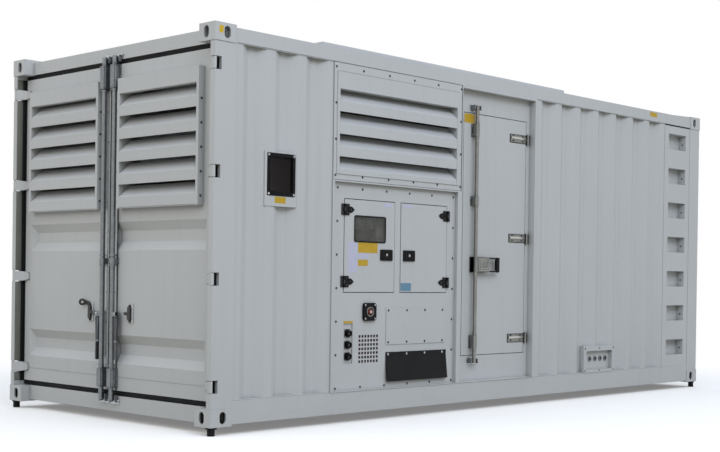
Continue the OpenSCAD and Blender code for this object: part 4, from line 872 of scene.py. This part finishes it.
def addStraps():
    # rubber sheet under each strap, a little larger so its black edge also paints the strap's
    # shadow outline, a raised spine along it in bright stainless as a painted highlight, through
    # bolts above and below the spine, capped pin ends
    size = {"sheet": ((3106, 56), (3322, 58), 36), "spine": ((3122, 48.5, -3), (3318, 53, 15)),
            "bolts": ((3150, 3275), (-17, 23)), "fixed": (3361, (-28, 0, 28)), "front": 53,
            "cap": (3334.5, 46, 8, 4), "caps": (42, -46)}
    straps = sideDoor["straps"]
    a, b, half = size["sheet"]
    # painted shadow outline: the black sheet shows round each strap
    finishPiece([softBlock(spot(*a, z - half), spot(*b, z + half), 1) for z in straps],
                "strap_gaskets", "personnel_door", rubber)
    a, b = size["spine"]
    spines = []
    for z in straps:
        spine = addBlock(spot(a[0], a[1], z + a[2]), spot(b[0], b[1], z + b[2]))
        spines.append(softenEdges(workFaces(spine, "near", (3.5, 1)), 1))
    # bright stainless, a painted highlight along each strap
    finishPiece(spines, "strap_spines", "personnel_door", stainless)
    row, rise = size["bolts"]
    addBolts("strap_bolts", "personnel_door", "strapBolt",
             [spot(x, size["front"], z + dz) for z in straps for x in row for dz in rise],
             "near", blackBolt)
    x, rise = size["fixed"]
    addBolts("strap_fixed_bolts", "container", "strapBolt",
             [spot(x, size["front"], z + dz) for z in straps for dz in rise], "near", blackBolt)
    x, depth, radius, high = size["cap"]
    caps = [softenEdges(addRound(spot(x, depth, z + dz), radius, high, "roof", 18), 1.4)
            for z in straps for dz in size["caps"]]
    finishPiece(caps, "strap_pin_caps", "container", stainless)


def addSideRod():
    # rivets of the rod guides, keeper bases on the panel and the collars by the guides
    size = {"guides": ((430, 530), (1557, 1627), (2100, 2200)), "rivet": (25, 52, 16),
            "bases": ((300, 354), (2302, 2356)), "base": (52, 54, 58), "nut": (45, 12),
            "collars": (408, 536, 1540, 1632, 2082, 2206), "collar": (20, 18.5, 10)}
    x = sideDoor["rod"]
    out, depth, end = size["rivet"]
    addBolts("side_guide_rivets", "personnel_door", "guideRivet",
             [spot(x + s * out, depth, z) for low, high in size["guides"]
              for z in (low + end, high - end) for s in (-1, 1)])
    half, front, back = size["base"]
    bases = [softBlock(spot(x - half, front, low), spot(x + half, back, high), 2, 3)
             for low, high in size["bases"]]
    finishPiece(bases, "side_keeper_bases", "container", brightZinc)
    out, end = size["nut"]
    addBolts("side_keeper_nuts", "container", "baseNut",
             [spot(x + s * out, front, z) for low, high in size["bases"]
              for z in (low + end, high - end) for s in (-1, 1)])
    depth, radius, high = size["collar"]
    collars = [softenEdges(addRound(spot(x, depth, z), radius, high, "roof"), 1.5)
               for z in size["collars"]]
    finishPiece(collars, "side_rod_collars", "personnel_lock", dullSteel)


def addLever():
    # pressed cover plate that hides the rod, two steps embossed on it, a black grip on the
    # loop and a black pan behind
    size = {"cover": ((2620, -8.4, -57), (2804, -0.2, 57)), "loopBorder": 9, "ribBorder": 4,
            "ribs": (((2672, -10, -47), (2798, -7, 47)), ((2690, -10, -32), (2784, -7, 32))),
            "loop": ((2800, -6, -57), (2914, 0.5, 57)), "grip": ((2892, -8, -60), (2936, 16, 60)),
            "pan": ((2612, 49.2, -61), (2794, 50, 61))}

    def offLever(x, y, z):  # depths from the lever's face, heights from its middle
        return spot(x, sideDoor["leverFace"] + y, sideDoor["lever"] + z)

    a, b = size["cover"]
    cover = workFaces(addBlock(offLever(*a), offLever(*b)), "near", (4, -1.2))
    finishPiece(softenEdges(cover, 2, 3), "lever_cover", "personnel_lock", leverSteel)
    ribs = [softenEdges(addRim(offLever(*a), offLever(*b), size["ribBorder"]), 0.8)
            for a, b in size["ribs"]]
    finishPiece(ribs, "lever_ribs", "personnel_lock", stainless)
    a, b = size["loop"]
    loop = addRim(offLever(*a), offLever(*b), size["loopBorder"], 12)
    a, b = size["grip"]
    grip = softBlock(offLever(*a), offLever(*b), 9, 5)
    finishPiece([grip, softenEdges(loop, 2.5, 3)], "lever_end_grip", "personnel_lock", moulded)
    a, b = ((x, y, sideDoor["lever"] + z) for x, y, z in size["pan"])
    finishPiece(softenEdges(addTray(spot(*a), spot(*b), 0.8, 5), 0.5), "lever_pan",
                "personnel_door", moulded)


addStraps()
addSideRod()
addLever()
print("side door done")

# control side: each box is its lowest and highest corner, in mm
controlDoor = {"face": 28, "pane": ((1300, 1231), (1616, 1413))}


def addControlWindow():
    # rubber rim round the pane, and behind it the instrument panel that rides with the frame:
    # a grey board, the controller with its keys, plug-in relays above it, and wiring ducts
    size = {"rim": (5, 10, 16), "board": ((1195.5, 118, -60), (1719.5, 126, 90)),
            "case": ((1396, 100, 1216), (1568, 120, 1330)), "keys": (1418, 32, 5),
            "relays": (1404, 40, 4), "relay": ((0, 96, 1350), (34, 119, 1404)),
            "ducts": (((1592, 92, 1180), (1700, 119, 1470)), ((1204, 92, 1425), (1588, 119, 1470)))}
    (x0, z0), (x1, z1) = controlDoor["pane"]
    face = controlDoor["face"]
    out, border, radius = size["rim"]
    rim = addRim(spot(x0 - out, face - out, z0 - out), spot(x1 + out, face, z1 + out), border,
                 radius)
    finishPiece(softenEdges(rim, 1.8, 3), "control_window_rim", "control_door_left", rubber)
    a, b = size["board"]
    board = addTray(spot(a[0], a[1], z0 + a[2]), spot(b[0], b[1], z1 + b[2]), 2, 12)
    finishPiece(softenEdges(board, 1), "instrument_board", "container", cabinetPaint)
    a, b = size["case"]
    finishPiece(softenEdges(addTray(spot(*a), spot(*b), 2, 14), 2.5, 3), "controller_case",
                "container", moulded)
    addBolts("controller_keys", "container", "padKey",
             [spot(x, a[1] - 1, a[2] + 7) for x in rowOf(*size["keys"])])
    a, b = size["relay"]
    relays = [softenEdges(addTray(spot(x + a[0], a[1], a[2]), spot(x + b[0], b[1], b[2]), 1.5, 7),
                          1.5) for x in rowOf(*size["relays"])]
    finishPiece(relays, "relay_row", "container", cabinetPaint)
    ducts = [softenEdges(addTray(spot(*a), spot(*b), 1.2, 4), 1.5) for a, b in size["ducts"]]
    finishPiece(ducts, "wiring_ducts", "container", ductPlastic)


def addLatches():
    # paddle latch: a lifting paddle in its frame and a bright lock barrel with a key slot;
    # and the screws of the doors' hinges
    size = {"left": (1565, 1691), "right": (1809, 1935), "rise": (1100, 1180), "proud": 8,
            "paddle": ((14, -2, 16), (14, 5, 22)), "barrel": (4, 2, 10, 7),
            "hinges": (944, 1454), "screws": ((28, -24), (28, 24), (66, 0)), "screwOut": 5}
    low, top = size["rise"]
    for side, pin, way in (("left", 1195, 1), ("right", 2305, -1)):
        body = "control_door_" + side
        x0, x1 = size[side]
        face = controlDoor["face"] - size["proud"]
        a, b = size["paddle"]
        paddle = addBlock(spot(x0 + a[0], face + a[1], low + a[2]),
                          spot(x1 - b[0], face + b[1], top - b[2]))
        workFaces(paddle, "near", (7, -3, (0.94, 1, 0.9)))
        finishPiece(softenEdges(paddle, 1.6, 3), "latch_paddle_" + side, body, moulded)
        depth, above, radius, high = size["barrel"]
        barrel = addRound(spot((x0 + x1) / 2, face + depth, (low + top) / 2 + above), radius,
                          high, "near")
        workFaces(barrel, "near", (3.5, -2), (4, -3, (0.3, 1, 1)))
        finishPiece(softenEdges(barrel, 0.6), "latch_barrel_" + side, body, brightZinc)
        addBolts("hinge_screws_" + side, body, "hingeScrew",
                 [spot(pin + way * x, controlDoor["face"] - size["screwOut"], z + dz)
                  for z in size["hinges"] for x, dz in size["screws"]], "near", blackBolt)


def addGrille():  # pleated filter behind the square holes, a dark russet
    size = {"x": (1353, 1562), "z": (357, 566), "depth": (37, 45), "sheet": 2, "pitch": 15,
            "fold": 3, "short": 1}
    (x0, x1), (z0, z1), (front, back) = size["x"], size["z"], size["depth"]
    sheet = addBlock(spot(x0, back - size["sheet"], z0), spot(x1, back, z1))
    makeActive(sheet)
    bpy.ops.object.mode_set(mode="EDIT")
    bpy.ops.mesh.select_all(action="SELECT")
    bpy.ops.mesh.subdivide(number_cuts=1)
    bpy.ops.object.mode_set(mode="OBJECT")
    count = int((x1 - x0) / size["pitch"])
    pleats = [softBlock(spot(x - size["fold"], front, z0 + size["short"]),
                        spot(x + size["fold"], back, z1 - size["short"]), 2.4)
              for x in rowOf(x0 + size["pitch"] / 2, size["pitch"], count)]
    finishPiece([sheet] + pleats, "grille_filter", "container", russetFoam)


def addConnectors():
    # insert with bright pins in each socket, square flanges with their screws, and a plain
    # yellow strip on the plate above
    size = {"x": 1250, "rise": (412.5, 494.5, 576.5), "face": 22, "radius": 15.5, "high": 7,
            "pins": (6.5, 3), "flange": (29, 34.5, 38), "screw": 23,
            "strip": ((1203, 29.3, 648), (1297, 30, 664))}
    x, face = size["x"], size["face"]
    out, proud = size["pins"]
    inserts, pins = [], []
    for z in size["rise"]:
        insert = addRound(spot(x, face + 1, z), size["radius"], size["high"], "near", 28)
        inserts.append(softenEdges(workFaces(insert, "near", (2.5, -3)), 0.7))
        for i in range(4):
            turn = math.radians(45 + i * 90)
            pins.append(spot(x + out * math.cos(turn), face - proud, z + out * math.sin(turn)))
    finishPiece(inserts, "connector_inserts", "container", moulded)
    addBolts("connector_pins", "container", "contactPin", pins)
    half, front, back = size["flange"]
    flanges = [softenEdges(addBlock(spot(x - half, front, z - half), spot(x + half, back, z + half)),
                           6, 3, 80) for z in size["rise"]]
    finishPiece(flanges, "connector_flanges", "container", moulded)
    addBolts("connector_screws", "container", "plateScrew",
             [spot(x + a * size["screw"], front, z + b * size["screw"]) for z in size["rise"]
              for a in (-1, 1) for b in (-1, 1)])
    addFilm("plate_strip", "container", yellowFilm, *size["strip"])


def addStopButton():  # guard ring and domed push button of the stop box, with cover screws
    stop = {"middle": (1456, 728), "face": 12, "floor": 24, "guard": (36, 15), "dome": (14, 22, 8),
            "hub": 5.6, "screw": 49}
    x, z = stop["middle"]
    radius, high = stop["guard"]
    ring = addRound(spot(x, stop["floor"], z), radius, high, "near", 40)
    finishPiece(softenEdges(workFaces(ring, "near", (7, -13)), 1.8, 3), "stop_guard_ring",
                "container", bronzedSteel)
    depth, radius, high = stop["dome"]
    cap = addRound(spot(x, depth, z), radius, high, "near", 36)
    workFaces(cap, "near", (0, 1.6, (0.86, 1, 0.86)), (0, 0.7, (0.7, 1, 0.7)), (3, -1))
    finishPiece(softenEdges(cap, 1.2, 3), "stop_button_cap", "container", redPlastic)
    addBolts("stop_button_hub", "container", "buttonHub", [spot(x, stop["hub"], z)], "near",
             stainless)
    addBolts("stop_box_screws", "container", "boxScrew",
             [spot(x + a * stop["screw"], stop["face"], z + b * stop["screw"])
              for a in (-1, 1) for b in (-1, 1)])


def addInspectionWindow():
    # moulded frame with rounded corners, a raised bead round its smoked pane and four screws
    size = {"low": (455, 1510), "high": (705, 1795), "border": 26, "depth": (2.6, 60),
            "round": 18, "bead": (20, 0.8, 3), "pane": (24, 16, 21), "well": (24, 22, 59),
            "screw": 13}
    (x0, z0), (x1, z1) = size["low"], size["high"]

    def across(inset, front, back):  # the two corners of a box set in from the frame's edges
        return spot(x0 + inset, front, z0 + inset), spot(x1 - inset, back, z1 - inset)

    front = size["depth"][0]
    parts = [softenEdges(addRim(*across(0, *size["depth"]), size["border"], size["round"]),
                         1.6, 2, 60),
             softenEdges(addRim(*across(*size["bead"]), 5, 12), 1)]
    bezel = finishPiece(parts, "inspection_frame", "container", moulded)
    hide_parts("inspection_window")
    finishPiece(softenEdges(addTray(*across(*size["pane"]), 1.5, 9), 0.8), "inspection_pane",
                "container", darkGlass)
    finishPiece(softenEdges(addTray(*across(*size["well"]), 30, 3), 0.8), "inspection_well",
                "container", castingRust)
    inset = size["screw"]
    addBolts("inspection_screws", "container", "frameScrew",
             [spot(x, front, z) for x in (x0 + inset, x1 - inset)
              for z in (z0 + inset, z1 - inset)])


def addTerminals():  # cable glands in the terminal box, each with a plug
    size = {"row": (4261, 80, 4), "rise": 285, "face": 35, "gland": (24, 7), "plug": (13.6, 3, 0.4)}
    row = rowOf(*size["row"])
    radius, high = size["gland"]
    rings = [softenEdges(workFaces(addRound(spot(x, size["face"], size["rise"]), radius, high,
                                            "near"), "near", (10, -6.5)), 1.4) for x in row]
    finishPiece(rings, "cable_glands", "container", darkZinc)
    radius, high, proud = size["plug"]
    plugs = [softenEdges(workFaces(addRound(spot(x, size["face"] - proud, size["rise"]), radius,
                                            high, "near"), "near", (4, -2)), 0.6) for x in row]
    finishPiece(plugs, "gland_plugs", "container", moulded)


def addLadderDetail():  # drain plug on the right wall of each pocket, and a black cover strip above that also paints the gap's shade
    size = {"plug": (5805, 44), "rise": (337, 328.5, 7), "strip": ((5426, 4.6, 2468),
                                                                  (5874, 7.4, 2480))}
    addBolts("pocket_plugs", "container", "drainPlug",
             [spot(*size["plug"], z) for z in rowOf(*size["rise"])], "door", darkZinc)
    a, b = size["strip"]
    # black rubber that also paints the shade of the gap above the pockets
    finishPiece(softBlock(spot(*a), spot(*b), 1), "ladder_cap_strip", "container", rubber)


def addFilm(name, body, finish, a, b):  # a thin plain patch, its edge just lifting
    finishPiece(softenEdges(addBlock(spot(*a), spot(*b)), 0.3, 1, 60), name, body, finish)


for addDetail in (addControlWindow, addLatches, addGrille, addConnectors, addStopButton,
                  addInspectionWindow, addTerminals, addLadderDetail):
    addDetail()
print("control side done")

patches = [  # plain vinyl, nothing printed
    ("control_door_left", whiteFilm, (1240, 27.4, 1010), (1332, 28, 1228)),
    ("control_door_left", yellowFilm, (1338, 27.4, 1152), (1538, 28, 1228)),
    ("control_door_left", whiteFilm, (1338, 27.4, 1108), (1446, 28, 1146)),
    ("control_door_left", yellowFilm, (1338, 27.4, 1058), (1438, 28, 1102)),
    ("control_door_left", whiteFilm, (1604, 27.4, 1492), (1690, 28, 1518)),
    ("control_door_right", whiteFilm, (1798, 27.4, 1496), (1900, 28, 1520)),
    ("control_door_right", blueFilm, (1788, 27.4, 878), (1902, 28, 938)),
    ("personnel_door", yellowFilm, (2530, 57.4, 2206), (2656, 58, 2276)),
    ("container", yellowFilm, (5150, 3.4, 2520), (5270, 4, 2562)),
    ("container", yellowFilm, (525, 5.4, 1462), (622, 6, 1504)),
]
for number, patch in enumerate(patches):
    addFilm("plain_patch_%d" % (number + 1), *patch)
print("plain patches done")


def addSealantLines():
    # beads of sealant round the louvre flanges and a line under the raised frame's top, dark
    # enough to paint the shadow lines there, and weld beads along the foot and head of the walls; a
    # run is its two ends and the depth of the wall there
    size = {"rim": ((1055.6, 3.6, 1655.6), (2438.4, 5.6, 2479.4)), "wide": 3.4,
            "cap": ((1092, 1.6, 2414.4), (2402, 5.4, 2417.6)),
            "near": [(195, 1054, 10), (3402, 4124, 10), (4606, 5419, 10)],
            "far": [(195, 1054, 10), (2440, 5878, 10)], "rise": ((165, 172), (2473, 2480)),
            "half": 3}
    lines = []
    for place in (spot, farSpot):
        a, b = (place(*p) for p in size["rim"])
        lines.append(softenEdges(addRim(a, b, size["wide"]), 0.8))
        a, b = (place(*p) for p in size["cap"])
        lines.append(softBlock(a, b, 0.8))
    # sealant that also paints the shadow lines round the louvres
    finishPiece(lines, "louvre_sealant", "container", sealant)
    beads = [softBlock(place(x0, depth - size["half"], low), place(x1, depth + size["half"], high),
                       2.5) for place, runs in ((spot, size["near"]), (farSpot, size["far"]))
             for x0, x1, depth in runs for low, high in size["rise"]]
    finishPiece(beads, "wall_weld_beads", "container", bodyPaint)


addSealantLines()
print("wall seams done")

camera = {"place": (-8.084, -7.566, 1.024), "yaw": 42.69, "pitch": -0.39, "roll": 0.81,
          "sensor": 36, "lens": 63.15, "shiftX": -0.0649, "shiftY": 0.0854}


def placeCamera():
    clearSelection()
    bpy.ops.object.camera_add(location=camera["place"])
    piece = bpy.context.object
    piece.data.sensor_width = camera["sensor"]
    piece.data.lens = camera["lens"]
    piece.data.shift_x = camera["shiftX"]
    piece.data.shift_y = camera["shiftY"]
    yaw, pitch, roll = (math.radians(camera[key]) for key in ("yaw", "pitch", "roll"))
    ahead = Vector((math.cos(pitch) * math.cos(yaw), math.cos(pitch) * math.sin(yaw),
                    math.sin(pitch)))
    level = ahead.cross(Vector((0, 0, 1))).normalized()
    rise = level.cross(ahead)
    right = math.cos(roll) * level + math.sin(roll) * rise
    up = math.cos(roll) * rise - math.sin(roll) * level
    pose = Matrix((right, up, -ahead)).transposed().to_4x4()
    pose.translation = Vector(camera["place"])
    piece.matrix_world = pose
    bpy.context.scene.camera = piece


# floor, backdrop and light
light = {"wide": 120, "floor": ("#E9E6E1", "#EAEAE9"), "bounce": "#A29B8C", "lift": 0.2,
         "fade": (3.7, 6.0), "dome": ("#E6E7E6", "#D8E4F6"), "horizon": 0.44, "zenith": 1.22}
lamps = {
    "side_softbox": {"place": (-4, -12, 11), "aim": (-1, -1, 1), "size": (12, 7), "power": 940,
                     "colour": "#F0F5FF"},
    "end_softbox": {"place": (-12, 1, 7), "aim": (-3, 0, 1), "size": (8, 6), "power": 225,
                    "colour": "#FFF5E6"}}


def plainRays(tree):  # 1 for rays from the camera, through glass or off gloss, 0 for the light
    rays = addNode(tree, "ShaderNodeLightPath")
    straight = addNode(tree, "ShaderNodeMath", {"operation": "MAXIMUM"},
                       {0: rays.outputs["Is Camera Ray"], 1: rays.outputs["Is Transmission Ray"]})
    return addNode(tree, "ShaderNodeMath", {"operation": "MAXIMUM"},
                   {0: straight, 1: rays.outputs["Is Glossy Ray"]})


def placeFloor():
    # the floor that is seen is paler than the ground that throws light up on the object
    clearSelection()
    bpy.ops.mesh.primitive_plane_add(size=light["wide"], location=(0, 0, 0))
    floor = bpy.context.object
    floor.name = "studio_floor"
    material = bpy.data.materials.new("studio_floor_matt")
    material.use_nodes = True
    tree = material.node_tree
    tree.nodes.clear()
    place = addNode(tree, "ShaderNodeTexCoord").outputs["Object"]
    cloud = addNode(tree, "ShaderNodeTexNoise", {"Scale": 1.2, "Detail": 3}, {"Vector": place})
    tint = addNode(tree, "ShaderNodeMix",
                   {"data_type": "RGBA", 6: hexColour(light["floor"][0]),
                    7: hexColour(light["floor"][1])}, {0: cloud})
    seen = addNode(tree, "ShaderNodeBsdfDiffuse", None, {"Color": tint.outputs[2]})
    lift = addNode(tree, "ShaderNodeEmission", {"Color": (1, 1, 1, 1), "Strength": light["lift"]})
    pale = addNode(tree, "ShaderNodeAddShader", None, {0: seen, 1: lift})
    reach = addNode(tree, "ShaderNodeVectorMath", {"operation": "LENGTH"}, {0: place})
    away = addNode(tree, "ShaderNodeMapRange",
                   {"From Min": light["fade"][0], "From Max": light["fade"][1]},
                   {"Value": reach.outputs["Value"]})
    white = addNode(tree, "ShaderNodeEmission", {"Color": (1, 1, 1, 1), "Strength": 1})
    fading = addNode(tree, "ShaderNodeMixShader", None, {0: away, 1: pale, 2: white})
    bounce = addNode(tree, "ShaderNodeBsdfDiffuse", {"Color": hexColour(light["bounce"])})
    mix = addNode(tree, "ShaderNodeMixShader", None, {0: plainRays(tree), 1: bounce, 2: fading})
    addNode(tree, "ShaderNodeOutputMaterial", None, {"Surface": mix})
    floor.data.materials.append(material)


def placeSky():  # an overcast dome, brightest overhead
    world = bpy.data.worlds.new("studio_sky")
    world.use_nodes = True
    tree = world.node_tree
    tree.nodes.clear()
    place = addNode(tree, "ShaderNodeTexCoord").outputs["Generated"]
    height = addNode(tree, "ShaderNodeSeparateXYZ", None, {"Vector": place})
    level = addNode(tree, "ShaderNodeMapRange",
                    {"From Min": 0, "From Max": 0.85, "To Min": light["horizon"],
                     "To Max": light["zenith"], "interpolation_type": "SMOOTHSTEP"},
                    {"Value": height.outputs["Z"]})
    tint = addNode(tree, "ShaderNodeMix",
                   {"data_type": "RGBA", 6: hexColour(light["dome"][0]),
                    7: hexColour(light["dome"][1])}, {0: height.outputs["Z"]})
    dome = addNode(tree, "ShaderNodeBackground", None,
                   {"Color": tint.outputs[2], "Strength": level.outputs[0]})
    back = addNode(tree, "ShaderNodeBackground", {"Color": (1, 1, 1, 1), "Strength": 1})
    mix = addNode(tree, "ShaderNodeMixShader", None, {0: plainRays(tree), 1: dome, 2: back})
    addNode(tree, "ShaderNodeOutputWorld", None, {"Surface": mix})
    bpy.context.scene.world = world


def placeLamp(name, look):
    clearSelection()
    bpy.ops.object.light_add(type="AREA", location=look["place"])
    lamp = bpy.context.object
    lamp.name = name
    lamp.data.shape = "RECTANGLE"
    lamp.data.size, lamp.data.size_y = look["size"]
    lamp.data.energy = look["power"]
    lamp.data.color = hexColour(look["colour"])[:3]
    away = Vector(look["aim"]) - Vector(look["place"])
    lamp.rotation_euler = away.to_track_quat("-Z", "Y").to_euler()


placeCamera()
placeFloor()
placeSky()
for name, look in lamps.items():
    placeLamp(name, look)
bpy.context.scene.view_settings.view_transform = "Standard"
print("camera, floor and light set")
